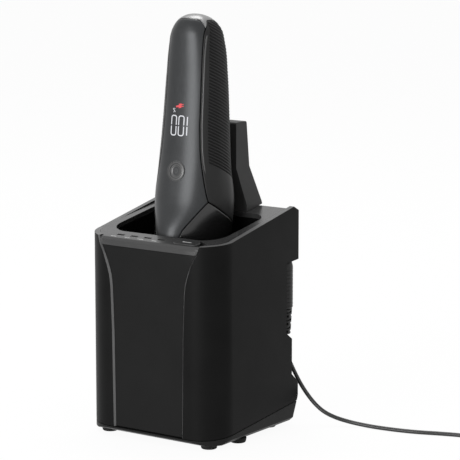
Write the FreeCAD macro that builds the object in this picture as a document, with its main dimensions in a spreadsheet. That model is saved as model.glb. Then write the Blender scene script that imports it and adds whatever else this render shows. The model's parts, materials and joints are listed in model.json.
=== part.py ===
import FreeCAD, Part
import math
import os
import re

import Sketcher

# An electric shaver standing head down in its cleaning and charging stand.
# Frame: +Z up, +X to the right, +Y to the rear, millimetres; the origin is on the
# ground at the centre of the stand. Every alias has an underscore in its name.

doc = FreeCAD.newDocument("shaver_and_stand")
sheet = doc.addObject("Spreadsheet::Sheet", "dims")

DIMENSIONS = {
    # stand: outer form
    "stand_width": 92.4, "stand_depth": 85.0, "corner_radius": 18.0, "rear_radius": 1.5,
    "cover_wall": 3.0, "panel_gap": 0.2, "fit_gap": 0.4, "foot_height": 3.0,
    "seam_front": 6.0, "seam_slope": 0.102, "deck_front": 115.0, "deck_slope": 0.16,
    "deck_wall": 2.5, "deck_lip": 4.2, "rim_rise": 1.5, "rim_chamfer": 3.2,
    "window_half": 24.0, "window_flare": 5.5, "panel_wall": 2.5, "panel_sink": 1.0,
    # stand: rear
    "overhang_under": 98.0, "recess_face": "=stand_depth/2-13.5", "recess_bottom": 31.0,
    "scallop_bottom": 52.0, "recess_edge": "=stand_depth/2-7.5", "block_top": 25.1, "block_low": 18.0, "block_inset": 0.7, "rear_wall": 2.5,
    # stand: basin, controls, arm
    "basin_half": 38.0, "basin_front": -29.5, "basin_back": 21.5, "basin_radius": 13.0,
    "basin_wall": 1.8, "basin_floor": 70.0, "cradle_top": 77.1, "spout_radius": 5.0,
    "spout_bore": 3.0, "spout_length": 10.0,
    "button_x": 22.5, "button_y": -35.4, "button_half": 8.5, "button_round": 3.4,
    "button_height": 3.0, "button_proud": 0.3, "key_travel": 0.6, "lamp_pitch": 9.5, "lamp_width": 5.0,
    "lamp_depth": 2.0, "lamp_x": -26.0, "board_wall": 1.2, "key_board_height": 106.0,
    "arm_foot_half": 22.0, "arm_half": 14.5, "arm_top": 176.5, "arm_waist": 150.0,
    "arm_front": 24.0, "arm_back": 39.5, "arm_taper": 5.0, "arm_wall": 2.5,
    "pin_spacing": 10.0, "pin_height": 165.0, "pin_radius": 1.2, "pin_proud": 1.1,
    # stand: tank, tray, pump, fan
    "tank_left": -40.0, "tank_right": 20.0, "tank_wall": 1.8, "tank_lid_height": 3.0,
    "bulkhead_wall": 1.7, "shelf_wall": 2.5, "plate_wall": 2.5,
    "tray_slant": 4.7, "tray_wall": 1.5, "tray_tuck": 3.0, "bay_front": -4.0, "bay_back": 31.0,
    "bay_half": 32.0, "foot_radius": 5.0, "side_foot_y": -11.5, "front_foot_y": -32.0,
    "rear_foot_y": 27.0, "foot_x": 35.0, "side_foot_x": 40.5,
    "pump_x": -20.0, "pump_y": -12.0, "pump_radius": 12.0, "pump_base": 30.0, "pump_height": 12.0,
    "pump_wall": 1.5, "shaft_radius": 1.5, "shaft_play": 0.05, "motor_radius": 10.0,
    "hose_radius": 3.0, "hose_bore": 2.0,
    "fan_x": 19.0, "fan_y": -8.0, "fan_half": 15.5, "fan_height": 10.0, "fan_base": 48.0,
    "fan_bore": 14.0, "fan_blade": 13.2, "fan_hub": 5.0,
    # plug and cord
    "plug_x": 38.5, "plug_y": "=stand_depth/2-6.5", "plug_radius": 6.3, "plug_bottom": 69.0, "nose_radius": 2.6,
    "nose_length": 9.0, "socket_radius": 3.6, "socket_length": 14.0, "relief_radius": 5.8,
    "relief_tip": 5.0, "relief_bottom": 54.0, "cord_radius": 1.2,
    "coil_x": 176.0, "coil_y": "=plug_y+52", "coil_outer": 19.0, "coil_inner": 7.5, "coil_height": 9.6,
    "adapter_length": 52.0, "adapter_width": 30.0, "adapter_height": 26.0, "blade_length": 17.0,
    # shaver handle: stations from the neck's rim to the tip
    "rim_height": 108.0, "rim_half": 21.5, "rim_front": -19.5, "rim_back": 15.5, "rim_taper": 7.5,
    "wing_height": 117.5, "wing_half": 21.5, "wing_front": -20.8, "wing_back": 18.0, "wing_taper": 8.5,
    "joint_height": 135.0, "joint_half": 22.6, "joint_front": -17.4, "joint_back": 21.4,
    "joint_taper": 2.0, "waist_height": 151.0, "waist_half": 21.0, "waist_front": -15.0,
    "waist_back": 22.4, "grip_height": 178.0, "grip_half": 19.6, "grip_front": -10.8,
    "grip_back": 22.5, "upper_height": 205.0, "upper_half": 18.2, "upper_front": -8.4,
    "upper_back": 22.2, "shoulder_height": 225.0, "shoulder_half": 16.2, "shoulder_front": -8.6,
    "shoulder_back": 19.6, "crown_height": 235.0, "crown_half": 12.0, "crown_front": -8.4,
    "crown_back": 15.0, "tip_height": 239.6, "tip_half": 6.5, "tip_front": -4.0, "tip_back": 9.0,
    "handle_wall": 2.0, "handle_split": 2.0, "face_half": 11.2, "face_joint_half": 18.8,
    "face_neck_half": 12.0, "face_top": 231.5, "cap_bottom": 230.5, "back_half": 8.0,
    "seam_joint_y": -9.5, "seam_wing_y": 16.0,
    # shaver: button, inner pieces
    "power_height": 152.0, "power_radius": 4.2, "power_ring": 5.8, "power_depth": 3.0,
    "display_height": 180.0, "display_half": 7.5, "display_length": 26.0,
    "frame_half": 10.5, "frame_front": -3.0, "frame_back": 12.0, "frame_wall": 1.6,
    "battery_radius": 6.5, "battery_length": 44.0, "battery_bottom": 168.0,
    "stator_half": 9.5, "stator_front": -9.5, "stator_bottom": 125.0,
    "stator_length": 26.0, "mover_half": 7.0, "mover_height": 8.0,
    # shaver: head
    "head_half": 29.0, "head_front": -20.5, "head_back": 14.5, "head_top": 105.4,
    "head_split": 92.5, "frame_bottom": 80.0, "foil_centre": 82.2, "foil_radius": 4.5,
    "foil_wall": 0.6, "foil_half": "=head_half-3", "foil_y": -3.0, "blade_gap": 0.5, "pivot_height": 112.0,
    "pivot_radius": 1.5, "pivot_y": -3.0, "ear_half": 12.0, "ear_wall": 3.0, "ear_depth": 4.0,
    "release_y": -3.0, "release_height": 98.5, "release_round": 3.2,
    "release_depth": 4.0, "release_proud": 2.0, "release_travel": 1.0,
    "trimmer_half": 13.0, "trimmer_front": 18.9, "trimmer_wall": 1.6, "trimmer_bottom": 106.0,
    "trimmer_top": 121.0,
}
for row, (alias, value) in enumerate(DIMENSIONS.items(), start=1):
    sheet.set(f"A{row}", str(value))
    sheet.setAlias(f"A{row}", alias)
doc.recompute()

PIECES = []          # the document objects that are written out, one file each


def size(alias):
    """The number held by a named cell."""
    return float(sheet.get(alias))


def bound(text):
    """An expression on the sheet: each name with an underscore is one of its cells."""
    return re.sub(r"\b([a-z]+_\w+)", r"dims.\1", str(text))


def tie(thing, **places):
    """Bind properties such as Length or Placement.Base.x (written Base_x) to the sheet."""
    for name, text in places.items():
        path = "Placement.Base." + name[-1] if name.startswith("Base_") else name
        thing.setExpression(path, bound(text))


def piece(thing, label=None):
    """Mark a document object as a sub-part of the shaver."""
    if label:
        thing.Label = label
    PIECES.append(thing)
    return thing


# --------------------------------------------------------------- building blocks

def box(label, x, y, z):
    """A block between (low, high) expressions on each axis."""
    block = doc.addObject("Part::Box", label)
    tie(block, Length=f"({x[1]})-({x[0]})", Width=f"({y[1]})-({y[0]})", Height=f"({z[1]})-({z[0]})")
    tie(block, Base_x=x[0], Base_y=y[0], Base_z=z[0])
    return block


TURNS = {
    "Z": FreeCAD.Rotation(),
    "X": FreeCAD.Rotation(FreeCAD.Vector(0, 1, 0), 90),
    "Y": FreeCAD.Rotation(FreeCAD.Vector(1, 0, 0), -90),
}


def rod(label, axis, start, length, radius, tip=None):
    """A round bar, or a cone when a tip radius is given, from start along +axis."""
    kind = "Part::Cone" if tip else "Part::Cylinder"
    bar = doc.addObject(kind, label)
    bar.Placement = FreeCAD.Placement(FreeCAD.Vector(), TURNS[axis])
    tie(bar, Height=length, Base_x=start[0], Base_y=start[1], Base_z=start[2])
    if tip:
        tie(bar, Radius1=radius, Radius2=tip)
    else:
        tie(bar, Radius=radius)
    return bar


def prism(label, plane, outline, low, high, rounds=()):
    """A body padded from a closed outline; rounds lists (radius, test of an edge's place)."""
    body = doc.addObject("PartDesign::Body", label)
    sketch = body.newObject("Sketcher::SketchObject", label + "_outline")
    support = [item for item in body.Origin.OriginFeatures if item.Role == plane + "_Plane"]
    sketch.AttachmentSupport = [(support[0], "")]
    sketch.MapMode = "FlatFace"
    offset = f"-({high})" if plane == "XZ" else low
    sketch.setExpression("AttachmentOffset.Base.z", bound(offset))
    count = len(outline)
    corners = []
    for turn in range(count):
        angle = 2 * math.pi * turn / count
        corners.append(FreeCAD.Vector(20 * math.cos(angle), 20 * math.sin(angle), 0))
    for turn in range(count):
        sketch.addGeometry(Part.LineSegment(corners[turn], corners[(turn + 1) % count]))
    for turn in range(count):
        sketch.addConstraint(Sketcher.Constraint("Coincident", turn, 2, (turn + 1) % count, 1))
    for turn, (across, up) in enumerate(outline):
        for kind, text in (("DistanceX", across), ("DistanceY", up)):
            place = sketch.addConstraint(Sketcher.Constraint(kind, -1, 1, turn, 1, 1.0))
            sketch.setExpression(f"Constraints[{place}]", bound(text))
    pad = body.newObject("PartDesign::Pad", label + "_pad")
    pad.Profile = sketch
    sketch.Visibility = False
    pad.setExpression("Length", bound(f"({high})-({low})"))
    doc.recompute()
    for radius, test in rounds:
        base = body.Tip
        along = {"XY": 2, "XZ": 1, "YZ": 0}[plane]
        names = []
        for number, edge in enumerate(base.Shape.Edges, start=1):
            ends = [vertex.Point for vertex in edge.Vertexes]
            if len(ends) != 2 or edge.Curve.TypeId != "Part::GeomLine":
                continue
            step = ends[1] - ends[0]
            if abs(step[along]) > 0.999 * step.Length and test(ends[0]):
                names.append(f"Edge{number}")
        fillet = body.newObject("PartDesign::Fillet", label + "_round")
        fillet.Base = (base, names)
        fillet.setExpression("Radius", bound(radius))
        doc.recompute()
    return body


def cut(label, base, *tools):
    """base less every tool."""
    tool = tools[0] if len(tools) == 1 else fuse(label + "_tools", *tools)
    result = doc.addObject("Part::Cut", label)
    result.Base = base
    result.Tool = tool
    return result


def fuse(label, *shapes):
    result = doc.addObject("Part::MultiFuse", label)
    result.Shapes = list(shapes)
    return result


def common(label, first, *others):
    """What all the given shapes share."""
    for turn, other in enumerate(others):
        last = turn == len(others) - 1
        result = doc.addObject("Part::Common", label if last else f"{label}_step{turn}")
        result.Base = first
        result.Tool = other
        first = result
    return first


def mirrored(outline):
    """An outline's right half, from the bottom up, with its mirror image."""
    return outline + [(f"-({across})", up) for across, up in reversed(outline)]


# --------------------------------------------------------------- stand: shared lines

FRONT = "-stand_depth/2"
REAR = "stand_depth/2"
SIDE = "stand_width/2"
INSIDE = "(stand_width/2-cover_wall-panel_gap)"


def seam(y, lift="0"):
    """Height of the seam between the housing and the tray at depth y."""
    return f"seam_front+seam_slope*(({y})+stand_depth/2)+({lift})"


def deck(y, lift="0"):
    """Height of the deck's upper face at depth y."""
    return f"deck_front+deck_slope*(({y})+stand_depth/2)+({lift})"


def is_front(point):
    return point.y < 0


def is_rear(point):
    return point.y > 0


def plan(label, half, front, back, low, high, front_radius, rear_radius=None):
    """A block with rounded upright corners."""
    outline = [(f"-({half})", front), (half, front), (half, back), (f"-({half})", back)]
    rounds = [(front_radius, is_front)]
    if rear_radius:
        rounds.append((rear_radius, is_rear))
    return prism(label, "XY", outline, low, high, rounds)


RIM_TOP = deck("stand_depth/2-6", "rim_rise")
SIDE_OUTLINE = [
    (FRONT, seam(FRONT)),
    (FRONT, "deck_front+0.5"),
    ("17-stand_depth/2", deck("17-stand_depth/2", "-0.6")),
    ("stand_depth/2-6", RIM_TOP),
    (REAR, f"{RIM_TOP}-rim_chamfer"),
    (REAR, "overhang_under"),
    ("recess_edge", "overhang_under-1"),
    ("recess_edge", "recess_bottom"),
    ("stand_depth/2-block_inset", "block_top"),
    ("stand_depth/2-block_inset", "block_low"),
    ("stand_depth/2-block_inset-1.4", seam("stand_depth/2-block_inset-1.4")),
]
# The right side is scalloped further forward beside the plug.
SCALLOP = [("recess_face+0.2", "overhang_under-1"), ("recess_face+0.2", "scallop_bottom+4"),
           ("recess_edge", "scallop_bottom")]
PLUG_SIDE_OUTLINE = SIDE_OUTLINE[:6] + SCALLOP + SIDE_OUTLINE[7:]
WINDOW_OUTLINE = mirrored([
    ("window_half", "0"),
    ("window_half+0.22*window_flare", "62"),
    ("window_half+0.5*window_flare", "93"),
    ("window_half+0.75*window_flare", "deck_front-3"),
    ("window_half+window_flare", "deck_front+8"),
])


def side_cover(label, outline, low_x, high_x):
    """A housing side that wraps round its front corner to the front panel."""
    outer = plan(label + "_outer", SIDE, FRONT, REAR, "0", "deck_front+30", "corner_radius",
                 "rear_radius")
    inner = plan(label + "_inner", f"{SIDE}-cover_wall", f"{FRONT}+cover_wall", "stand_depth",
                 "-1", "deck_front+31", "corner_radius-cover_wall")
    wall = cut(label + "_wall", outer, inner)
    profile = prism(label + "_profile", "YZ", outline, low_x, high_x)
    window = prism(label + "_window", "XZ", WINDOW_OUTLINE, "-stand_depth", "-stand_depth/4")
    piece(cut(label, common(label + "_side", wall, profile), window))


side_cover("side_cover_left", SIDE_OUTLINE, "-stand_width", "-5")
side_cover("side_cover_right", PLUG_SIDE_OUTLINE, "5", "stand_width")

panel_blank = prism("front_panel_blank", "XZ", WINDOW_OUTLINE, f"{FRONT}+panel_sink",
                    f"{FRONT}+panel_sink+panel_wall")
panel_limit = box("front_panel_limit", ("-window_half-window_flare", "window_half+window_flare"),
                  (FRONT, "0"), (seam(FRONT, "panel_gap"), "deck_front-deck_lip-panel_gap"))
piece(common("front_panel", panel_blank, panel_limit))

# The rear cover is one bent wall: overhang, recess and lower block.
REAR_FACE = "stand_depth/2-panel_gap"
BLOCK_FACE = "stand_depth/2-block_inset-panel_gap"
rear_outline = [
    (REAR_FACE, f"{RIM_TOP}-rim_chamfer-4"),
    (REAR_FACE, "overhang_under+panel_gap"),
    ("recess_face", "overhang_under+panel_gap-0.8"),
    ("recess_face", "recess_bottom"),
    (BLOCK_FACE, "block_top"),
    (BLOCK_FACE, seam(BLOCK_FACE, "panel_gap")),
    (f"{BLOCK_FACE}-rear_wall", seam(BLOCK_FACE, "panel_gap")),
    (f"{BLOCK_FACE}-rear_wall", "block_top-1.2"),
    ("recess_face-rear_wall", "recess_bottom-1.2"),
    ("recess_face-rear_wall", "overhang_under+rear_wall"),
    (f"{REAR_FACE}-rear_wall", "overhang_under+panel_gap+rear_wall"),
    (f"{REAR_FACE}-rear_wall", f"{RIM_TOP}-rim_chamfer-4"),
]
rear_blank = prism("rear_cover_blank", "YZ", rear_outline, f"-{INSIDE}", INSIDE)
tank_window = box("tank_window", ("tank_left-fit_gap", "tank_right+fit_gap"), ("10", "stand_depth"),
                  ("recess_bottom+0.3", "overhang_under-panel_gap-0.6"))
inlet_hole = rod("inlet_hole", "Z", ("plug_x", "plug_y", "overhang_under-5"), "12",
                 "socket_radius+0.05")
SCREW_PLACES = [
    ("27", "recess_face", "39"), ("27", "recess_face", "90"),
    ("-30", BLOCK_FACE, "21.5"), ("30", BLOCK_FACE, "21.5"),
]
screw_holes = []
screw_bodies = []
for turn, (x, y, z) in enumerate(SCREW_PLACES):
    screw_holes.append(rod(f"screw_hole_{turn}", "Y", (x, f"{y}-8", z), "10", "1.35"))
    shank = rod(f"screw_shank_{turn}", "Y", (x, f"{y}-5", z), "5", "1.3")
    head = rod(f"screw_head_{turn}", "Y", (x, y, z), "0.6", "2.5")
    screw_bodies += [shank, head]
piece(cut("rear_cover", rear_blank, tank_window, inlet_hole, *screw_holes))
piece(fuse("case_screws", *screw_bodies))

# --------------------------------------------------------------- stand: deck and basin

LIP = f"{FRONT}+0.5"
CHIN = "stand_depth/2-6"
deck_outline = [
    (LIP, "deck_front-deck_lip"),
    (LIP, "deck_front-1"),
    (f"{LIP}+1.4", deck(f"{LIP}+1.4")),
    (CHIN, deck(CHIN)),
    (REAR_FACE, f"{RIM_TOP}-rim_chamfer-1.4"),
    (REAR_FACE, f"{RIM_TOP}-rim_chamfer-3.9"),
    (CHIN, deck(CHIN, "-deck_wall")),
    (f"{LIP}+3.2", deck(f"{LIP}+3.2", "-deck_wall")),
    (f"{LIP}+3.2", "deck_front-deck_lip"),
]
deck_sheet = prism("deck_sheet", "YZ", deck_outline, f"-{INSIDE}", INSIDE)
deck_plan = fuse(
    "deck_plan",
    plan("deck_inner_plan", INSIDE, f"{FRONT}+cover_wall+panel_gap", "stand_depth/2", "60",
         "deck_front+40", "corner_radius-cover_wall-panel_gap"),
    box("deck_nose", ("-window_half-0.7*window_flare", "window_half+0.7*window_flare"),
        (FRONT, "-stand_depth/2+8"), ("60", "deck_front+40")))
basin_mouth = plan("basin_mouth", "basin_half", "basin_front", "basin_back", "basin_floor",
                   "deck_front+30", "basin_radius", "basin_radius-4")
button_hole = prism("button_hole", "XY",
                    [("button_x-button_half-0.35", "button_y-button_round-0.35"),
                     ("button_x+button_half+0.35", "button_y-button_round-0.35"),
                     ("button_x+button_half+0.35", "button_y+button_round+0.35"),
                     ("button_x-button_half-0.35", "button_y+button_round+0.35")],
                    "deck_front-15", "deck_front+15",
                    [("button_round+0.3", lambda point: True)])
lamp_cells = []
lamp_cuts = []
for turn in range(4):
    left = f"lamp_x+{turn}*lamp_pitch"
    across = (left, f"{left}+lamp_width")
    deep = ("button_y-lamp_depth/2", "button_y+lamp_depth/2")
    lamp_cuts.append(box(f"lamp_cut_{turn}", across, deep, ("deck_front-10", "deck_front+10")))
    lamp_cells.append(box(f"lamp_{turn}", (f"{left}+0.05", f"{left}+lamp_width-0.05"),
                          ("button_y-lamp_depth/2+0.05", "button_y+lamp_depth/2-0.05"),
                          (deck("button_y", "-deck_wall-1.5"), deck("button_y", "-0.25"))))
arm_slot = box("arm_slot", ("-7", "7"), ("arm_front+5", "arm_back-6"),
               ("deck_front", "deck_front+30"))
deck_blank = common("deck_blank", deck_sheet, deck_plan)
piece(cut("deck", deck_blank, basin_mouth, button_hole, arm_slot, *lamp_cuts))
piece(fuse("indicator_lenses", *lamp_cells))

basin_block = plan("basin_block", "basin_half+basin_wall", "basin_front-basin_wall",
                   "basin_back+basin_wall", "basin_floor-basin_wall", "deck_front+30",
                   "basin_radius+basin_wall", "basin_radius-4+basin_wall")
under_deck = prism("under_deck", "YZ",
                   [(FRONT, "0"), (REAR, "0"), (REAR, deck(REAR, "-deck_wall")),
                    (FRONT, deck(FRONT, "-deck_wall"))], f"-{SIDE}", SIDE)
basin_cup = cut("basin_cup", common("basin_trimmed", basin_block, under_deck), basin_mouth)
cradles = [box(f"cradle_{name}", (low, high), ("-12", "5"), ("basin_floor-0.5", "cradle_top"))
           for name, low, high in (("left", "-29.5", "-26.8"), ("right", "26.8", "29.5"))]
spout = rod("drain_spout", "Z", ("0", "5", "basin_floor-basin_wall-spout_length"),
            "spout_length+1", "spout_radius")
drain = rod("drain_bore", "Z", ("0", "5", "basin_floor-basin_wall-spout_length-1"),
            "spout_length+basin_wall+3", "spout_bore")
piece(cut("wash_basin", fuse("basin_parts", basin_cup, spout, *cradles), drain))

# Select button: an oblong key whose top follows the deck, on a stem over the key board.
key_blank = prism("key_blank", "XY",
                  [("button_x-button_half", "button_y-button_round"),
                   ("button_x+button_half", "button_y-button_round"),
                   ("button_x+button_half", "button_y+button_round"),
                   ("button_x-button_half", "button_y+button_round")],
                  deck("button_y", "-button_height"), deck("button_y", "3"),
                  [("button_round-0.05", lambda point: True)])
key_limit = prism("key_limit", "YZ",
                  [("-stand_depth", "0"), ("0", "0"), ("0", deck("0", "button_proud")),
                   ("-stand_depth", deck("-stand_depth", "button_proud"))], "0", "stand_width")
key_stem = rod("key_stem", "Z", ("button_x", "button_y", "key_board_height+board_wall+1.7+key_travel"),
               f"{deck('button_y', '-button_height')}-key_board_height-board_wall-1.7-key_travel+0.5",
               "1.5")
piece(fuse("select_button", common("key_cap", key_blank, key_limit), key_stem))
key_board = box("key_board", ("-31", "31"), ("-38.5", "basin_front-basin_wall-panel_gap"),
                ("key_board_height", "key_board_height+board_wall"))
key_switch = box("key_switch", ("button_x-2.5", "button_x+2.5"), ("button_y-2.3", "button_y+2.3"),
                 ("key_board_height+board_wall-0.1", "key_board_height+board_wall+1.4"))
piece(fuse("indicator_board", key_board, key_switch))

# --------------------------------------------------------------- stand: contact arm

arm_face = prism("arm_face", "XZ", mirrored([
    ("arm_foot_half", "deck_front"), ("arm_foot_half", "deck_front+14"), ("arm_half", "arm_waist"),
    ("arm_half", "arm_top")]), "0", "stand_depth")
arm_side = prism("arm_side", "YZ", [
    ("arm_front", deck("arm_front")), ("arm_back", deck("arm_back")),
    ("arm_back", deck("arm_back", "2")), ("arm_back-arm_taper", "arm_top"),
    ("arm_front", "arm_top")], f"-{SIDE}", SIDE, [("1.5", lambda point: point.z > 160)])
arm_hollow = box("arm_hollow", ("-10", "10"), ("arm_front+arm_wall", "arm_back-arm_taper-arm_wall"),
                 ("deck_front", "arm_top-arm_wall"))
pins = []
pin_holes = []
for name, side in (("left", "-"), ("right", "")):
    across = f"{side}pin_spacing/2"
    pins.append(rod(f"pin_{name}", "Y", (across, "arm_front-pin_proud", "pin_height"),
                    "pin_proud+arm_wall+1.6", "pin_radius"))
    pin_holes.append(rod(f"pin_hole_{name}", "Y", (across, "arm_front-1", "pin_height"),
                         "arm_wall+2", "pin_radius+0.06"))
piece(cut("contact_arm", common("arm_blank", arm_face, arm_side), arm_hollow, *pin_holes))
pin_bar = box("pin_bar", ("-pin_spacing/2-2", "pin_spacing/2+2"),
              ("arm_front+arm_wall+0.4", "arm_front+arm_wall+1.9"), ("pin_height-2", "pin_height+2"))
piece(fuse("contact_pins", pin_bar, *pins))

# --------------------------------------------------------------- stand: inside

BULKHEAD = "(basin_back+basin_wall+panel_gap)"
plate = prism("base_plate", "YZ", [
    (f"{FRONT}+cover_wall+1", seam(f"{FRONT}+cover_wall+1", "0.3")),
    ("stand_depth/2-5", seam("stand_depth/2-5", "0.3")),
    ("stand_depth/2-5", seam("stand_depth/2-5", "0.3+plate_wall")),
    (f"{FRONT}+cover_wall+1", seam(f"{FRONT}+cover_wall+1", "0.3+plate_wall"))],
    f"-{INSIDE}", INSIDE)
plate_plan = plan("plate_plan", INSIDE, f"{FRONT}+cover_wall+panel_gap", "stand_depth/2-4", "0", "40",
                  "corner_radius-cover_wall-panel_gap")
bulkhead = box("bulkhead", (f"-{INSIDE}", INSIDE), (f"{BULKHEAD}-bulkhead_wall", BULKHEAD),
               (seam(BULKHEAD), "basin_floor-basin_wall-0.4"))
shelf = box("shelf", (f"-{INSIDE}", "tank_right+2"),
            (f"{BULKHEAD}-1", "recess_face-rear_wall-panel_gap"),
            ("recess_bottom-shelf_wall-0.1", "recess_bottom-0.1"))
plate_drain = rod("plate_drain", "Z", ("0", "5", "0"), "30", "hose_radius+0.1")
chassis_blank = fuse("chassis_blank", common("plate_rounded", plate, plate_plan), bulkhead, shelf)
piece(cut("chassis", chassis_blank, plate_drain))
piece(cut("inlet_socket",
          rod("socket_body", "Z", ("plug_x", "plug_y", "overhang_under"), "socket_length",
              "socket_radius"),
          rod("socket_bore", "Z", ("plug_x", "plug_y", "overhang_under-1"), "nose_length+2",
              "nose_radius+0.1")))
control_sheet = box("control_sheet", ("-36", "36"),
                    (f"{BULKHEAD}-bulkhead_wall-board_wall", f"{BULKHEAD}-bulkhead_wall"),
                    ("24", "64"))
control_chips = [
    box("control_coil", ("-32", "-16"), ("8", f"{BULKHEAD}-bulkhead_wall-0.5"), ("30", "44")),
    box("control_chip", ("8", "20"), ("16.5", f"{BULKHEAD}-bulkhead_wall-0.5"), ("36", "48")),
    rod("control_cell", "Z", ("28", "15.6", "28"), "14", "5.5"),
]
piece(fuse("control_board", control_sheet, *control_chips))

PUMP = ("pump_x", "pump_y")
MOTOR_SEAT = seam("pump_y+motor_radius", "0.4+plate_wall")
motor_can = rod("motor_can", "Z", (*PUMP, MOTOR_SEAT), f"pump_base-0.2-({MOTOR_SEAT})",
                "motor_radius")
piece(cut("pump_motor", motor_can,
          rod("motor_bore", "Z", (*PUMP, "pump_base-6"), "10", "shaft_radius+shaft_play")))
pump_cup = cut("pump_cup",
               rod("pump_outer", "Z", (*PUMP, "pump_base"), "pump_height", "pump_radius"),
               rod("pump_chamber", "Z", (*PUMP, "pump_base+pump_wall"),
                   "pump_height-2*pump_wall", "pump_radius-pump_wall"),
               rod("pump_bearing", "Z", (*PUMP, "pump_base-1"), "pump_wall+2",
                   "shaft_radius+shaft_play"))
pump_outlet = rod("pump_outlet", "Z", (*PUMP, "pump_base+pump_height-2*pump_wall"),
                  "pump_wall*3", "hose_bore")
piece(cut("pump_housing", pump_cup, pump_outlet))
impeller_parts = [
    rod("impeller_shaft", "Z", (*PUMP, "pump_base-5.5"), "12", "shaft_radius"),
    rod("impeller_hub", "Z", (*PUMP, "pump_base+pump_wall+0.6"), "5.5", "3.2"),
]
for turn in range(3):
    vane = doc.addObject("Part::Box", f"impeller_vane_{turn}")
    vane.Placement.Rotation = FreeCAD.Rotation(FreeCAD.Vector(0, 0, 1), 60 * turn)
    angle = math.radians(60 * turn)
    reach = "(pump_radius-pump_wall-1)"
    tie(vane, Length=f"2*{reach}", Width="1.2", Height="4.5",
        Base_x=f"pump_x-{reach}*{math.cos(angle):.6f}+0.6*{math.sin(angle):.6f}",
        Base_y=f"pump_y-{reach}*{math.sin(angle):.6f}-0.6*{math.cos(angle):.6f}",
        Base_z="pump_base+pump_wall+0.8")
    impeller_parts.append(vane)
piece(fuse("pump_impeller", *impeller_parts))

hose_top = "basin_floor-basin_wall-0.2"
feed = cut("feed_hose",
           rod("feed_outer", "Z", (*PUMP, "pump_base+pump_height+0.1"),
               f"{hose_top}-pump_base-pump_height-0.1", "hose_radius"),
           rod("feed_inner", "Z", (*PUMP, "pump_base"), "60", "hose_bore"))
drain_pipe = cut("drain_pipe",
                 rod("drain_outer", "Z", ("0", "5", seam("5", "0.4")),
                     f"basin_floor-basin_wall-spout_length-0.2-({seam('5', '0.4')})", "hose_radius"),
                 rod("drain_inner", "Z", ("0", "5", "0"), "80", "hose_bore"))
piece(fuse("water_hoses", feed, drain_pipe))

FAN = ("fan_x", "fan_y")
fan_frame = cut("fan_frame",
                box("fan_block", ("fan_x-fan_half", "fan_x+fan_half"),
                    ("fan_y-fan_half", "fan_y+fan_half"), ("fan_base", "fan_base+fan_height")),
                rod("fan_tunnel", "Z", (*FAN, "fan_base-1"), "fan_height+2", "fan_bore"))
fan_bar = box("fan_bar", ("fan_x-fan_half+0.5", "fan_x+fan_half-0.5"), ("fan_y-2.5", "fan_y+2.5"),
              ("fan_base", "fan_base+1.5"))
fan_posts = [box(f"fan_post_{turn}", (f"fan_x+{x}-2", f"fan_x+{x}+2"), (f"fan_y+{y}-2", f"fan_y+{y}+2"),
                 (seam("fan_y", "4.6"), "fan_base+1"))
             for turn, (x, y) in enumerate((("13", "13"), ("13", "-13"), ("(-13)", "-13")))]
fan_pin_hole = rod("fan_pin_hole", "Z", (*FAN, "fan_base-1"), "4", "1+shaft_play")
piece(cut("fan_housing", fuse("fan_carrier", fan_frame, fan_bar, *fan_posts), fan_pin_hole))
rotor_parts = [
    rod("rotor_shaft", "Z", (*FAN, "fan_base"), "3", "1"),
    rod("rotor_hub", "Z", (*FAN, "fan_base+2"), "fan_height-3", "fan_hub"),
]
for turn in range(4):
    blade = doc.addObject("Part::Box", f"rotor_blade_{turn}")
    tilt = FreeCAD.Rotation(FreeCAD.Vector(1, 0, 0), 35)
    spin = FreeCAD.Rotation(FreeCAD.Vector(0, 0, 1), 45 * turn)
    start = spin.multVec(FreeCAD.Vector(-1, 0, 0))
    side = spin.multVec(tilt.multVec(FreeCAD.Vector(0, -1, 0)))
    blade.Placement.Rotation = spin.multiply(tilt)
    tie(blade, Length="2*fan_blade", Width="6", Height="0.8",
        Base_x=f"fan_x+fan_blade*{start.x:.6f}+3*{side.x:.6f}",
        Base_y=f"fan_y+fan_blade*{start.y:.6f}+3*{side.y:.6f}",
        Base_z=f"fan_base+5.2+3*{side.z:.6f}")
    rotor_parts.append(blade)
piece(fuse("fan_rotor", *rotor_parts))

# --------------------------------------------------------------- stand: water tank and tray

TANK_X = ("tank_left", "tank_right")
TANK_Y = (f"{BULKHEAD}+fit_gap", REAR_FACE)
TANK_BASE = "recess_bottom+fit_gap+0.3"
TANK_TOP = "overhang_under-fit_gap-panel_gap-1"
tank_block = box("tank_block", TANK_X, TANK_Y, (TANK_BASE, f"{TANK_TOP}-tank_lid_height"))
tank_room = box("tank_room", ("tank_left+tank_wall", "tank_right-tank_wall"),
                (f"{BULKHEAD}+fit_gap+tank_wall", f"{REAR_FACE}-tank_wall"),
                (f"{TANK_BASE}+tank_wall", "overhang_under"))
piece(cut("water_tank", tank_block, tank_room))
lid_plate = box("lid_plate", TANK_X, TANK_Y, (f"{TANK_TOP}-tank_lid_height", TANK_TOP))
lid_finger = box("lid_finger", ("-20", "0"), (f"{REAR_FACE}-3", REAR),
                 (f"{TANK_TOP}-tank_lid_height-1", f"{TANK_TOP}-1"))
piece(cut("tank_lid", lid_plate, lid_finger))

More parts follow.
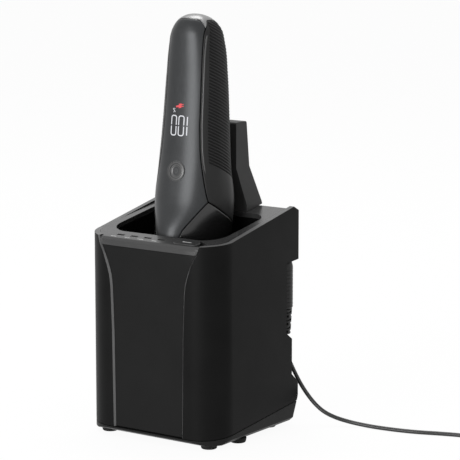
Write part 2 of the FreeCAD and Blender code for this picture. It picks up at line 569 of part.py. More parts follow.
tray_plan = plan("tray_plan", SIDE, FRONT, REAR, "0", "40", "corner_radius", "rear_radius")
TRAY_REAR = "stand_depth/2-block_inset-1.4"
tray_profile = prism("tray_profile", "YZ", [
    (f"{FRONT}+tray_tuck", "foot_height"), (f"{TRAY_REAR}-tray_slant", "foot_height"),
    (TRAY_REAR, seam(TRAY_REAR, "-fit_gap")), (FRONT, seam(FRONT, "-fit_gap")),
    (FRONT, seam(FRONT, "-fit_gap-1"))], f"-{SIDE}", SIDE)
tray_face = prism("tray_face", "XZ", mirrored([
    (f"{SIDE}-2", "foot_height"), (SIDE, "foot_height+2"), (SIDE, "40")]), "-stand_depth",
    "stand_depth")
tray_blank = common("tray_blank", tray_plan, tray_profile, tray_face)
tray_bay = box("tray_bay", ("-bay_half", "bay_half"), ("bay_front", "bay_back"),
               ("foot_height+tray_wall", "40"))
piece(cut("tray_shell", tray_blank, tray_bay))
bay_slope = prism("bay_slope", "YZ", [
    ("bay_front+0.2", seam("bay_front+0.2", "-fit_gap-tray_wall")),
    ("bay_back-0.2", seam("bay_back-0.2", "-fit_gap-tray_wall")),
    ("bay_back-0.2", seam("bay_back-0.2", "-fit_gap")),
    ("bay_front+0.2", seam("bay_front+0.2", "-fit_gap"))], "-bay_half+0.2", "bay_half-0.2")
lid_drain = rod("lid_drain", "Z", ("0", "5", "0"), "30", "hose_radius")
piece(cut("tray_lid", bay_slope, lid_drain))
piece(box("detergent_cartridge", ("-bay_half+4", "bay_half-4"), ("bay_back-19", "bay_back-1"),
          ("foot_height+tray_wall", seam("bay_back-19", "-fit_gap-tray_wall-0.2"))))
feet = []
for name, x, y in (("front", "foot_x", "front_foot_y"), ("side", "side_foot_x", "side_foot_y"),
                   ("rear", "foot_x", "rear_foot_y")):
    for side in ("", "-"):
        tag = f"{name}_{'right' if side == '' else 'left'}"
        feet.append(rod(f"foot_{tag}", "Z", (f"{side}{x}", y, "0"), "foot_height", "foot_radius-0.6",
                        "foot_radius"))
piece(fuse("tray_feet", *feet))

# --------------------------------------------------------------- plug, cord, adapter

plug_grip = rod("plug_grip", "Z", ("plug_x", "plug_y", "plug_bottom"),
                "overhang_under-1.2-plug_bottom", "plug_radius")
plug_nose = rod("plug_nose", "Z", ("plug_x", "plug_y", "overhang_under-2"), "nose_length",
                "nose_radius")
piece(fuse("appliance_plug", plug_grip, plug_nose))
piece(rod("strain_relief", "Z", ("plug_x", "plug_y", "relief_bottom"),
          "plug_bottom-relief_bottom", "relief_tip", "relief_radius"))

CORD_ROUTE = [
    (38.5, 36.0, 54.0), (38.5, 37.6, 47.0), (38.6, 41.2, 40.3), (39.2, 44.8, 33.8),
    (41.0, 47.2, 27.4), (44.6, 47.6, 21.6), (49.8, 46.6, 16.6), (55.2, 46.4, 11.8),
    (60.6, 47.4, 7.8), (66.6, 50.0, 4.9), (73.4, 53.0, 2.9), (80.8, 55.0, 1.8),
    (90.0, 56.4, 1.25), (102.0, 57.6, 1.25), (115.0, 60.4, 1.25), (128.0, 65.6, 1.25),
    (141.0, 69.6, 1.25), (154.0, 70.4, 1.25), (166.0, 70.2, 1.25),
]


def cord_path(points):
    """Straight runs joined by tangent arcs, each as large as its two runs allow."""
    nodes = [FreeCAD.Vector(*point) for point in points]
    edges = []
    here = nodes[0]
    for before, corner, after in zip(nodes, nodes[1:], nodes[2:]):
        come = (corner - before).normalize()
        leave = (after - corner).normalize()
        turn = come.getAngle(leave)
        run = min(before.distanceToPoint(corner), corner.distanceToPoint(after))
        reach = 0.45 * run
        radius = reach / math.tan(turn / 2)
        print(f"cord turn {math.degrees(turn):5.1f} deg, radius {radius:6.1f} mm")
        start = corner - come * reach
        end = corner + leave * reach
        inward = (leave - come).normalize()
        middle = corner + inward * (radius * (1 / math.cos(turn / 2) - 1))
        edges.append(Part.LineSegment(here, start).toShape())
        edges.append(Part.Arc(start, middle, end).toShape())
        here = end
    edges.append(Part.LineSegment(here, nodes[-1]).toShape())
    return Part.Wire(edges)


# the whole route goes with the plug when the stand's size changes
shift_x = size("plug_x") - CORD_ROUTE[0][0]
shift_y = size("plug_y") - CORD_ROUTE[0][1]
cord_route = [(x + shift_x, y + shift_y, z) for x, y, z in CORD_ROUTE]
cord_wire = cord_path(cord_route)
start_point = FreeCAD.Vector(*cord_route[0])
ring = Part.Circle(start_point, FreeCAD.Vector(*cord_route[1]) - start_point, size("cord_radius"))
cord_shape = cord_wire.makePipeShell([Part.Wire([ring.toShape()])], True, False)
cord_tube = doc.addObject("Part::Feature", "cord_tube")
cord_tube.Shape = cord_shape
cord_tube.Placement = FreeCAD.Placement()
piece(cord_tube)
expected = math.pi * size("cord_radius") ** 2 * cord_wire.Length
print(f"cord length {cord_wire.Length:.1f} mm, volume {cord_shape.Volume:.0f} of {expected:.0f}")

COIL = ("coil_x", "coil_y")
piece(cut("cord_coil",
          rod("coil_body", "Z", (*COIL, "0"), "coil_height", "coil_outer"),
          rod("coil_eye", "Z", (*COIL, "-1"), "coil_height+2", "coil_inner")))
ADAPTER_X = ("coil_x+coil_outer+8", "coil_x+coil_outer+8+adapter_width")
ADAPTER_Y = ("coil_y-42", "coil_y-42+adapter_length")
adapter_block = prism("adapter_block", "XY", [
    (ADAPTER_X[0], ADAPTER_Y[0]), (ADAPTER_X[1], ADAPTER_Y[0]),
    (ADAPTER_X[1], ADAPTER_Y[1]), (ADAPTER_X[0], ADAPTER_Y[1])], "0", "adapter_height",
    [("4", lambda point: True)])
adapter_relief = rod("adapter_relief", "X", ("coil_x+6.3", "coil_y-coil_outer+1.3", "4.8"),
                     "coil_outer+2.7", "1.9", "3.2")
piece(fuse("wall_adapter", adapter_block, adapter_relief))
blades = []
for turn, shift in enumerate(("-6.35", "6.35")):
    middle = f"coil_x+coil_outer+8+adapter_width/2+{shift}"
    blades.append(box(f"blade_{turn}", (f"{middle}-0.75", f"{middle}+0.75"),
                      (ADAPTER_Y[1], f"{ADAPTER_Y[1]}+blade_length"),
                      ("adapter_height/2-3.2", "adapter_height/2+3.2")))
piece(fuse("adapter_pins", *blades))

# --------------------------------------------------------------- shaver: handle

STATIONS = ("rim", "wing", "joint", "waist", "grip", "upper", "shoulder", "crown", "tip")


def station_ring(name, inset, drop=0.0):
    """A closed curve round the handle at one station, inset by a wall."""
    half = size(f"{name}_half") - inset
    front = size(f"{name}_front") + inset
    back = size(f"{name}_back") - inset
    taper = size(f"{name}_taper") if f"{name}_taper" in DIMENSIONS else 0.0
    level = size(f"{name}_height") - drop
    centre = (front + back) / 2
    deep = (back - front) / 2
    edges = []
    for side in (1, -1):
        points = []
        for step in range(9):
            angle = math.pi * (step / 8 - 0.5)
            across = side * abs(math.cos(angle)) ** 0.85
            along = math.copysign(abs(math.sin(angle)) ** 0.85, math.sin(angle))
            points.append(FreeCAD.Vector(across * (half + taper * along), centre + deep * along,
                                         level))
        if side < 0:
            points.reverse()
        points[0].x = points[-1].x = 0.0
        curve = Part.BSplineCurve()
        curve.interpolate(Points=points, InitialTangent=FreeCAD.Vector(side, 0, 0),
                          FinalTangent=FreeCAD.Vector(-side, 0, 0))
        edges.append(curve.toShape())
    return Part.Wire(edges)


def handle_form(label, names, inset, drop=0.0):
    """The handle's free form as a loft through its stations."""
    rings = [station_ring(name, inset, drop) for name in names]
    form = doc.addObject("Part::Feature", label)
    form.Shape = Part.makeLoft(rings, True, False)
    form.Placement = FreeCAD.Placement()
    return form


handle_outer = handle_form("handle_outer", STATIONS, 0.0)
handle_inner = handle_form("handle_inner", STATIONS[:-1], size("handle_wall"), 0.5)
handle_floor = box("handle_floor", ("-50", "50"), ("-50", "50"), ("cap_bottom+2", "cap_bottom+20"))
cavity = cut("handle_cavity", handle_inner, handle_floor)
handle_skin = cut("handle_skin", handle_outer, cavity)

face_region = prism("face_region", "XZ", mirrored([
    ("face_neck_half", "rim_height-5"), ("face_neck_half", "wing_height-2"),
    ("face_joint_half", "joint_height"), ("face_half+2.4", "joint_height+12"),
    ("face_half", "waist_height+8"), ("face_half", "face_top-4"), ("face_half-3", "face_top+2"),
    ("face_half-8", "face_top+3.6")]), "-stand_depth", "handle_split")
back_region = box("back_region", ("-back_half", "back_half"), ("handle_split", "stand_depth"),
                  ("joint_height-14", "cap_bottom"))
cap_region = box("cap_region", ("-50", "50"), ("-50", "50"), ("cap_bottom", "tip_height+20"))
neck_region = prism("neck_region", "YZ", [
    ("-stand_depth", "rim_height-20"), ("stand_depth", "rim_height-20"),
    ("stand_depth", "wing_height"), ("seam_wing_y", "wing_height"), ("seam_joint_y", "joint_height"),
    ("-stand_depth", "joint_height")], "-stand_width", "stand_width")
power_bore = rod("power_bore", "Y", ("0", "waist_front-8", "power_height"), "15", "power_ring+0.02")
terminal_holes = [rod(f"terminal_hole_{name}", "Y", (x, "0", "pin_height"), "40", "1.52")
                  for name, x in (("left", "-pin_spacing/2"), ("right", "pin_spacing/2"))]
face_skin = common("face_skin", handle_skin, face_region)
piece(cut("face_panel", face_skin, power_bore))
back_skin = common("back_skin", handle_skin, back_region)
piece(cut("back_panel", back_skin, *terminal_holes))
cap_skin = common("cap_skin", handle_skin, cap_region)
piece(cut("end_cap", cap_skin, face_region))
neck_skin = common("neck_skin", handle_skin, neck_region)
piece(cut("neck_shell", neck_skin, face_region, back_region))
for name, low, high in (("left", "-stand_width", "0"), ("right", "0", "stand_width")):
    half_space = box(f"half_{name}", (low, high), ("-stand_depth", "stand_depth"),
                     ("rim_height-5", "cap_bottom"))
    side_skin = common(f"side_skin_{name}", handle_skin, half_space)
    above_neck = cut(f"above_neck_{name}", side_skin, neck_region)
    beside_face = cut(f"beside_face_{name}", above_neck, face_region)
    piece(cut(f"grip_{name}", beside_face, back_region))

# --------------------------------------------------------------- shaver: power key, inside

FACE_Y = "waist_front+1"
ring_outer = rod("ring_outer", "Y", ("0", f"{FACE_Y}-2.2", "power_height"), "4", "power_ring")
ring_bore = rod("ring_bore", "Y", ("0", f"{FACE_Y}-4", "power_height"), "8", "power_radius+0.35")
piece(cut("power_ring", common("ring_blank", ring_outer, handle_outer), ring_bore))
piece(rod("power_button", "Y", ("0", f"{FACE_Y}-0.7", "power_height"), "power_depth", "power_radius"))
frame_back_plate = box("frame_back_plate", ("-frame_half", "frame_half"),
                       ("frame_back-frame_wall", "frame_back"),
                       ("pivot_height+2", "shoulder_height-10"))
frame_sides = [box(f"frame_side_{name}", (low, high), ("frame_front", "frame_back"),
                   ("stator_bottom+stator_length+2", "shoulder_height-10"))
               for name, low, high in (("left", "-frame_half", "-frame_half+frame_wall"),
                                       ("right", "frame_half-frame_wall", "frame_half"))]
frame_ears = [box(f"frame_ear_{name}", (low, high), ("pivot_y-4", "frame_back"),
                  ("pivot_height-3", "stator_bottom-1"))
              for name, low, high in (("left", "-ear_half-3", "-ear_half-0.4"),
                                      ("right", "ear_half+0.4", "ear_half+3"))]
frame_bridge = box("frame_bridge", ("-ear_half-3", "ear_half+3"),
                   ("frame_back-frame_wall", "frame_back"), ("pivot_height+2", "stator_bottom-1"))
pivot_hole = rod("pivot_hole", "X", ("-30", "pivot_y", "pivot_height"), "60", "pivot_radius+0.02")
frame_parts = fuse("frame_parts", frame_back_plate, frame_bridge, *frame_sides, *frame_ears)
piece(cut("inner_frame", frame_parts, pivot_hole))
piece(rod("battery", "Z", ("0", "frame_back-frame_wall-battery_radius-0.1", "battery_bottom"),
          "battery_length", "battery_radius"))
piece(box("motor_stator", ("-stator_half", "stator_half"),
          ("stator_front", "frame_back-frame_wall"),
          ("stator_bottom", "stator_bottom+stator_length")))
mover_block = box("mover_block", ("-mover_half", "mover_half"), ("pivot_y-5", "pivot_y+5"),
                  ("stator_bottom-mover_height-0.4", "stator_bottom-0.4"))
drive_pin = rod("drive_pin", "Z", ("0", "pivot_y", "pivot_height-3"),
                "stator_bottom-mover_height-pivot_height+3", "1.3")
piece(fuse("motor_mover", mover_block, drive_pin))
board_sheet = box("board_sheet", ("-frame_half+1", "frame_half-1"),
                  ("frame_front-board_wall", "frame_front"),
                  ("stator_bottom+stator_length+3", "shoulder_height-12"))
board_chip = box("board_chip", ("-4", "4"), ("frame_front-0.1", "frame_front+1.4"),
                 ("battery_bottom-10", "battery_bottom-3"))
key_post = box("key_post", ("-2.5", "2.5"), (f"{FACE_Y}-0.7+power_depth+key_travel+0.3", "frame_front"),
               ("stator_bottom+stator_length+1", "power_height+6"))
piece(fuse("main_board", board_sheet, board_chip, key_post))
piece(box("display_module", ("-display_half", "display_half"),
          ("frame_front-board_wall-1.8", "frame_front-board_wall"),
          ("display_height-display_length/2", "display_height+display_length/2")))
terminals = [rod(f"terminal_{name}", "Y", (x, "frame_back+0.2", "pin_height"),
                 "grip_back-0.4-frame_back-0.2", "1.5")
             for name, x in (("left", "-pin_spacing/2"), ("right", "pin_spacing/2"))]
piece(fuse("charging_terminals", *terminals))
piece(fuse("pivot_pins", *[rod(f"pivot_pin_{name}", "X", (low, "pivot_y", "pivot_height"),
                               "ear_wall+3", "pivot_radius")
                           for name, low in (("left", "-ear_half-3"),
                                             ("right", "ear_half-ear_wall"))]))

# --------------------------------------------------------------- shaver: head

head_plan = plan("head_plan", "head_half", "head_front", "head_back", "head_split", "head_top", "6",
                 "6")
ears = []
for name, low, high in (("left", "-ear_half", "-ear_half+ear_wall"),
                        ("right", "ear_half-ear_wall", "ear_half")):
    ears.append(box(f"ear_{name}", (low, high), ("pivot_y-ear_depth", "pivot_y+ear_depth"),
                    ("head_top-1", "pivot_height")))
    ears.append(rod(f"ear_round_{name}", "X", (low, "pivot_y", "pivot_height"), "ear_wall",
                    "ear_depth"))
ear_bore = rod("ear_bore", "X", ("-30", "pivot_y", "pivot_height"), "60", "pivot_radius+0.05")
stem_hole = box("stem_hole", ("-6", "6"), ("pivot_y-5", "pivot_y+5"), ("head_split-5", "head_top+1"))
release_pockets = []
for name, side in (("left", "-"), ("right", "")):
    pocket_floor = "head_half+release_proud-release_depth-release_travel-0.4"
    start = pocket_floor if side == "" else "-head_half-3"
    length = f"head_half+3-({pocket_floor})"
    release_pockets.append(rod(f"release_pocket_{name}", "X", (start, "release_y", "release_height"),
                               length, "release_round+0.35"))
head_blank = fuse("head_blank", head_plan, *ears)
piece(cut("head_base", head_blank, ear_bore, stem_hole, *release_pockets))
piece(rod("release_right", "X", ("head_half+release_proud-release_depth", "release_y",
                                 "release_height"), "release_depth", "release_round"))
piece(rod("release_left", "X", ("-head_half-release_proud", "release_y", "release_height"),
          "release_depth", "release_round"))

frame_shell = plan("foil_frame_block", "head_half+1", "head_front", "head_back", "frame_bottom",
                   "head_split-0.1", "6", "6")
frame_window = box("foil_window", ("-foil_half", "foil_half"),
                   ("foil_y-3*foil_radius-0.2", "foil_y+3*foil_radius+0.2"), ("0", "head_split+1"))
piece(cut("foil_frame", frame_shell, frame_window))
foil_tubes = []
foil_bores = []
blade_rods = []
for turn, shift in enumerate(("-2*foil_radius", "0", "2*foil_radius")):
    middle = f"foil_y+{shift}"
    foil_tubes.append(rod(f"foil_tube_{turn}", "X", ("-foil_half+0.1", middle, "foil_centre"),
                          "2*foil_half-0.2", "foil_radius"))
    foil_bores.append(rod(f"foil_bore_{turn}", "X", ("-foil_half-1", middle, "foil_centre"),
                          "2*foil_half+2", "foil_radius-foil_wall"))
    blade_rods.append(rod(f"blade_rod_{turn}", "X", ("-foil_half+2.5", middle, "foil_centre"),
                          "2*foil_half-5", "foil_radius-foil_wall-blade_gap"))
foil_above = box("foil_above", ("-stand_width", "stand_width"), ("-stand_depth", "stand_depth"),
                 ("foil_centre", "200"))
foil_sides = [box(f"foil_side_{turn}", ("-foil_half+0.1", "foil_half-0.1"), (low, high),
                  ("foil_centre-0.2", "foil_centre+5"))
              for turn, (low, high) in enumerate((
                  ("foil_y-3*foil_radius", "foil_y-3*foil_radius+foil_wall"),
                  ("foil_y+3*foil_radius-foil_wall", "foil_y+3*foil_radius")))]
foil_arches = cut("foil_arches", fuse("foil_stock", *foil_tubes), foil_above, *foil_bores)
piece(fuse("foils", foil_arches, *foil_sides))
blade_halves = cut("blade_halves", fuse("blade_stock", *blade_rods), foil_above)
blade_bridge = box("blade_bridge", ("-foil_half+4", "foil_half-4"),
                   ("foil_y-2.6*foil_radius", "foil_y+2.6*foil_radius"),
                   ("foil_centre+blade_gap", "foil_centre+3.5"))
blade_risers = [box(f"blade_riser_{turn}", ("-foil_half+4", "foil_half-4"),
                    (f"foil_y+{shift}-1.5", f"foil_y+{shift}+1.5"), ("foil_centre-1", "foil_centre+1"))
                for turn, shift in enumerate(("(-2*foil_radius)", "0", "2*foil_radius"))]
blade_stem = rod("blade_stem", "Z", ("0", "pivot_y", "foil_centre+2"),
                 "pivot_height-4.6-foil_centre-2", "1.8")
piece(fuse("inner_blades", blade_halves, blade_bridge, *blade_risers, blade_stem))
piece(box("trimmer", ("-trimmer_half", "trimmer_half"),
          ("trimmer_front", "trimmer_front+trimmer_wall"), ("trimmer_bottom", "trimmer_top")))

# --------------------------------------------------------------- checks and files

doc.recompute()
for thing in doc.Objects:
    if "Invalid" in thing.State or "Error" in thing.State:
        raise RuntimeError(f"{thing.Label} failed: {thing.State}")
os.makedirs("parts", exist_ok=True)
for thing in PIECES:
    if thing.Shape.isNull() or not thing.Shape.isValid():
        raise RuntimeError(f"{thing.Label} has no valid shape")
    if not thing.Shape.Solids:
        raise RuntimeError(f"{thing.Label} has no solid")
for thing in PIECES:
    thing.Shape.exportStep(f"parts/{thing.Label}.step")
print(f"{len(PIECES)} pieces")
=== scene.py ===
import json
import math

import bmesh
import bpy
import numpy as np
from mathutils import Euler, Matrix, Vector


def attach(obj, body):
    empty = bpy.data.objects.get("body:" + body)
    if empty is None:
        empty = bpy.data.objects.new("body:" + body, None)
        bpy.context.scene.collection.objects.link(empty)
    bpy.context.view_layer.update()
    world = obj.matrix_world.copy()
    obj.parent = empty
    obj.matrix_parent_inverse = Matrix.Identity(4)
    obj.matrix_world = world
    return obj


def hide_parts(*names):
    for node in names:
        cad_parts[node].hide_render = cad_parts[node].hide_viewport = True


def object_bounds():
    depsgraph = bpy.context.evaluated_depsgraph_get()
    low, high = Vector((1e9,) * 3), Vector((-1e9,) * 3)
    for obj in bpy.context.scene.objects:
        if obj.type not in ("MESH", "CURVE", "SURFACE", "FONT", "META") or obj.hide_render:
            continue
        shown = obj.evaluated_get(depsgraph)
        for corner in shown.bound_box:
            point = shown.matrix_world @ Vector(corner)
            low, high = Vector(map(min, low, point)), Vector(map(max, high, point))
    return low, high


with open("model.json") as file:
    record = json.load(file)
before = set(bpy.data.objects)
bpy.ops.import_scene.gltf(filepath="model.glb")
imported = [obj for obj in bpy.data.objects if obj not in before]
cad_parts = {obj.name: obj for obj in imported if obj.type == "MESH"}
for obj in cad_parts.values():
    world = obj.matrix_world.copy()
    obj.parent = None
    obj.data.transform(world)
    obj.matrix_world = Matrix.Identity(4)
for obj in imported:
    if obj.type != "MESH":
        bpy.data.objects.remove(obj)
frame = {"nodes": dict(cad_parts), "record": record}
cad_low, cad_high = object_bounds()

# An electric shaver standing head down in its cleaning and charging stand.
# Metres, +Z up, +X to the right, +Y to the rear, the origin on the floor under the stand.
MM = 0.001

# ---------------------------------------------------------------- camera

CAMERA_TURN = math.radians(35.0)
CAMERA_DROP = math.radians(9.9)
CAMERA_PLACE = (0.75494, -1.03971, 0.34030)
CAMERA_LENS = 178.4

camera_data = bpy.data.cameras.new("studio_camera")
camera_data.lens = CAMERA_LENS
camera_data.sensor_width = 36.0
camera_data.clip_start = 0.05
camera_data.clip_end = 50.0
camera = bpy.data.objects.new("studio_camera", camera_data)
camera.location = CAMERA_PLACE
camera.rotation_euler = Euler((math.pi / 2 - CAMERA_DROP, 0.0, CAMERA_TURN))
bpy.context.scene.collection.objects.link(camera)
bpy.context.scene.camera = camera
bpy.context.scene.view_settings.view_transform = "Standard"


# ---------------------------------------------------------------- making pieces

def mesh_piece(name, work, finish, body, smooth=True):
    """Turn a bmesh into a piece with its finish and body."""
    mesh = bpy.data.meshes.new(name)
    work.normal_update()
    work.to_mesh(mesh)
    work.free()
    for face in mesh.polygons:
        face.use_smooth = smooth
    made = bpy.data.objects.new(name, mesh)
    bpy.context.scene.collection.objects.link(made)
    made.data.materials.append(finish)
    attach(made, body)
    return made


def finish_node(node, finish):
    """Give a node that keeps its CAD shape a better finish."""
    made = frame["nodes"][node]
    for place in made.material_slots:
        place.material = finish


# ---------------------------------------------------------------- shader maths

class Wire:
    """A socket of a material, with arithmetic that adds the Math nodes."""

    def __init__(self, tree, socket):
        self.tree = tree
        self.socket = socket

    def math(self, operation, first, second):
        return self.node("ShaderNodeMath", {"operation": operation}, {0: first, 1: second})

    def node(self, kind, settings=None, values=None, out=0):
        """Any node: its settings are made first, then its sockets' values or links."""
        made = self.tree.nodes.new(kind)
        for key, value in (settings or {}).items():
            setattr(made, key, value)
        for key, value in (values or {}).items():
            target = made.inputs[key]
            if isinstance(value, Wire):
                self.tree.links.new(value.socket, target)
            else:
                target.default_value = value
        return Wire(self.tree, made.outputs[out])

    def __add__(self, other):
        return self.math("ADD", self, other)

    def __radd__(self, other):
        return self.math("ADD", other, self)

    def __sub__(self, other):
        return self.math("SUBTRACT", self, other)

    def __rsub__(self, other):
        return self.math("SUBTRACT", other, self)

    def __mul__(self, other):
        return self.math("MULTIPLY", self, other)

    def __rmul__(self, other):
        return self.math("MULTIPLY", other, self)

    def clamp(self):
        """The same value, held between 0 and 1."""
        made = self.math("ADD", self, 0.0)
        made.socket.node.use_clamp = True
        return made

    def step(self, low, high):
        """0 below low, 1 above high, smooth between."""
        return self.node("ShaderNodeMapRange", {"interpolation_type": "SMOOTHSTEP"},
                         {"Value": self, "From Min": low, "From Max": high})

    def tint(self, first, second):
        """A colour between two, by this factor."""
        return self.node("ShaderNodeMix", {"data_type": "RGBA"},
                         {0: self, 6: first, 7: second}, out=2)

    def noise(self, place, scale, detail=2.0, rough=0.5):
        return self.node("ShaderNodeTexNoise", None,
                         {"Vector": place, "Scale": scale, "Detail": detail, "Roughness": rough})


def new_finish(name):
    """An empty material: its shader node, a wire to start from, and the object's place."""
    made = bpy.data.materials.new(name)
    made.use_nodes = True
    shader = made.node_tree.nodes["Principled BSDF"]
    start = Wire(made.node_tree, None)
    place = start.node("ShaderNodeTexCoord", out="Object")
    return made, shader, start, place


def link(shader, name, wire):
    """Feed one of the shader's sockets from a wire."""
    wire.tree.links.new(wire.socket, shader.inputs[name])


def set_up(shader, **values):
    """Set the shader's plain sockets, with _ for the spaces in their names."""
    for name, value in values.items():
        shader.inputs[name.replace("_", " ")].default_value = value


def raise_bump(start, shader, height, strength, distance):
    """Raise the surface a little where the height is greater."""
    bump = start.node("ShaderNodeBump", None,
                      {"Strength": strength, "Distance": distance, "Height": height})
    link(shader, "Normal", bump)


def grey(level, warm=0.0):
    """A grey, warmer or, with a negative share, cooler."""
    return (level * (1 + warm), level, level * (1 - warm), 1.0)


def moulded(name, low, high, rough, grain=0.02 * MM, grain_size=0.35 * MM, gloss=0.3, coat=0.0,
            metal=0.0, coat_rough=0.1):
    """Moulded or painted plastic: fine grain, faint cloudy colour and uneven gloss."""
    made, shader, start, place = new_finish(name)
    cloud = start.noise(place, 38.0, 3.0)
    speck = start.noise(place, 1.0 / grain_size, 2.0, 0.6)
    tone = (cloud * 0.65 + speck * 0.35).step(0.3, 0.7)
    link(shader, "Base Color", tone.tint(low, high))
    handled = start.noise(place, 90.0, 4.0, 0.6)
    link(shader, "Roughness", rough + (handled - 0.5) * 0.10 + (speck - 0.5) * 0.06)
    raise_bump(start, shader, speck, 0.35, grain)
    set_up(shader, Specular_IOR_Level=gloss, Coat_Roughness=coat_rough, Metallic=metal)
    link(shader, "Coat Weight", (cloud.step(0.2, 0.8) * 0.1 + 0.95) * coat)
    return made


def brushed(name, low, high, rough, metal, along, streak=0.05, gloss=0.5, grain=0.012 * MM):
    """Satin metal with fine streaks along one direction."""
    made, shader, start, place = new_finish(name)
    drawn = start.node("ShaderNodeMapping", None, {"Vector": place, "Scale": along})
    lines = start.noise(drawn, 2600.0, 2.0, 0.6)
    cloud = start.noise(place, 45.0, 3.0)
    flake = start.noise(place, 5200.0, 1.0)
    tone = (lines * 0.45 + cloud * 0.3 + flake * 0.25).step(0.3, 0.7)
    link(shader, "Base Color", tone.tint(low, high))
    link(shader, "Roughness", rough + (lines - 0.5) * streak + (cloud - 0.5) * 0.06)
    raise_bump(start, shader, lines, 0.25, grain)
    set_up(shader, Specular_IOR_Level=gloss)
    link(shader, "Metallic", (flake.step(0.3, 0.7) * 0.1 + 0.95) * metal)
    return made


FINISH = {
    "cover": moulded("satin_black_cover", grey(0.0034), grey(0.0052), 0.42, gloss=0.075),
    "front_panel": moulded("panel_black", grey(0.0036), grey(0.0052), 0.32, gloss=0.14,
                           grain_size=0.25 * MM),
    "deck": moulded("deck_charcoal", grey(0.022), grey(0.030), 0.24, gloss=0.5,
                    grain_size=0.25 * MM),
    # the lighter grey of the covers' upper edges and window chamfers is a painted highlight, not
    # the plastic's own colour
    "rim": moulded("rim_edge_grey", grey(0.085), grey(0.11), 0.36, gloss=0.35),
    "basin": moulded("basin_gloss_black", grey(0.0025), grey(0.004), 0.10, gloss=0.25,
                     grain=0.004 * MM),
    "arm": moulded("arm_matte_grey", grey(0.026), grey(0.034), 0.55, gloss=0.30),
    "tray": moulded("tray_satin_black", grey(0.007), grey(0.010), 0.42, gloss=0.12),
    "rear": moulded("rear_cover_black", grey(0.010), grey(0.015), 0.50, gloss=0.25),
    "inner": moulded("inner_plastic_grey", grey(0.10), grey(0.13), 0.48, gloss=0.35),
    "rubber": moulded("foot_rubber", grey(0.008), grey(0.013), 0.75, gloss=0.2,
                      grain=0.05 * MM),
    "neck": moulded("neck_gloss_black", grey(0.006), grey(0.009), 0.20, gloss=0.45,
                    grain=0.004 * MM, coat=0.4, coat_rough=0.12),
    "head": moulded("head_black", grey(0.010), grey(0.014), 0.35, gloss=0.35),
    "face": brushed("gunmetal_face", grey(0.030, -0.04), grey(0.042, -0.04), 0.36, 0.55,
                    (1.0, 1.0, 0.06), gloss=0.35),
    "cap": brushed("cap_silver", grey(0.20), grey(0.27), 0.30, 0.9, (1.0, 1.0, 0.3), gloss=0.5),
    "trim": brushed("trim_bright_edge", grey(0.07), grey(0.09), 0.35, 0.8, (1.0, 1.0, 0.1)),
    "ring": brushed("button_ring", grey(0.07), grey(0.09), 0.34, 0.5, (1.0, 1.0, 0.4)),
    "button": brushed("button_cap", grey(0.055), grey(0.07), 0.38, 0.5, (1.0, 0.2, 1.0)),
    "steel": brushed("ground_steel", grey(0.52), grey(0.62), 0.27, 1.0, (0.1, 1.0, 1.0)),
    "brass": brushed("contact_gold", (0.62, 0.43, 0.16, 1.0), (0.72, 0.52, 0.22, 1.0), 0.25, 1.0,
                     (1.0, 0.3, 1.0)),
    "cord": moulded("cord_black", grey(0.012), grey(0.018), 0.34, gloss=0.45),
    "plug": moulded("plug_black", grey(0.010), grey(0.015), 0.44, gloss=0.30),
    "adapter": moulded("adapter_black", grey(0.012), grey(0.018), 0.46, gloss=0.30),
    "board": moulded("board_green", (0.010, 0.075, 0.030, 1.0), (0.014, 0.100, 0.042, 1.0), 0.42,
                     gloss=0.45),
    "cell": moulded("cell_wrap_blue", (0.020, 0.060, 0.160, 1.0), (0.026, 0.075, 0.200, 1.0), 0.35,
                    gloss=0.45),
    "cartridge": moulded("cartridge_pale_blue", (0.30, 0.52, 0.62, 1.0), (0.36, 0.58, 0.68, 1.0),
                         0.40, gloss=0.45),
    "lens": moulded("lamp_window_dark", grey(0.012), grey(0.018), 0.12, gloss=0.5,
                    grain=0.002 * MM),
    "print": moulded("printed_mark_grey", grey(0.50), grey(0.58), 0.50, gloss=0.3),
    "tank": moulded("tank_smoked", grey(0.030), grey(0.042), 0.14, gloss=0.5, grain=0.003 * MM,
                    coat=0.6),
}


def lit(name, colour, strength):
    """A lamp shape seen through the face: it glows a little, unevenly."""
    made, shader, start, place = new_finish(name)
    glow = start.noise(place, 500.0, 2.0).step(0.2, 0.8)
    link(shader, "Emission Color", glow.tint(tuple(c * 0.9 for c in colour[:3]) + (1.0,), colour))
    link(shader, "Base Color", glow.tint(grey(0.02), grey(0.03)))
    link(shader, "Roughness", 0.4 + glow * 0.1)
    set_up(shader, Emission_Strength=strength)
    return made


def grip_rubber():
    """Black rubber whose grooves are painted darker than the tops of its ribs, a painted shade in
    the hollows.
    """
    made, shader, start, place = new_finish("grip_rubber")
    groove = start.node("ShaderNodeAttribute", {"attribute_name": "groove"}, out=2)
    cloud = start.noise(place, 60.0, 3.0)
    speck = start.noise(place, 5000.0, 2.0, 0.6)
    top = (cloud * 0.6 + speck * 0.4).step(0.3, 0.7).tint(grey(0.010), grey(0.016))
    # painted shade: the base colour falls to near black where the groove is deep
    link(shader, "Base Color", groove.step(0.25, 0.75).tint(top, grey(0.0012)))
    link(shader, "Roughness", 0.42 + groove.clamp() * 0.25 + (cloud - 0.5) * 0.08)
    raise_bump(start, shader, speck, 0.3, 0.02 * MM)
    set_up(shader, Specular_IOR_Level=0.24)
    return made


FINISH["grip"] = grip_rubber()
FINISH["digits"] = lit("digit_white", (0.86, 0.87, 0.92, 1.0), 0.85)
FINISH["plug_icon"] = lit("icon_red", (0.90, 0.035, 0.05, 1.0), 0.9)

# ---------------------------------------------------------------- the cord

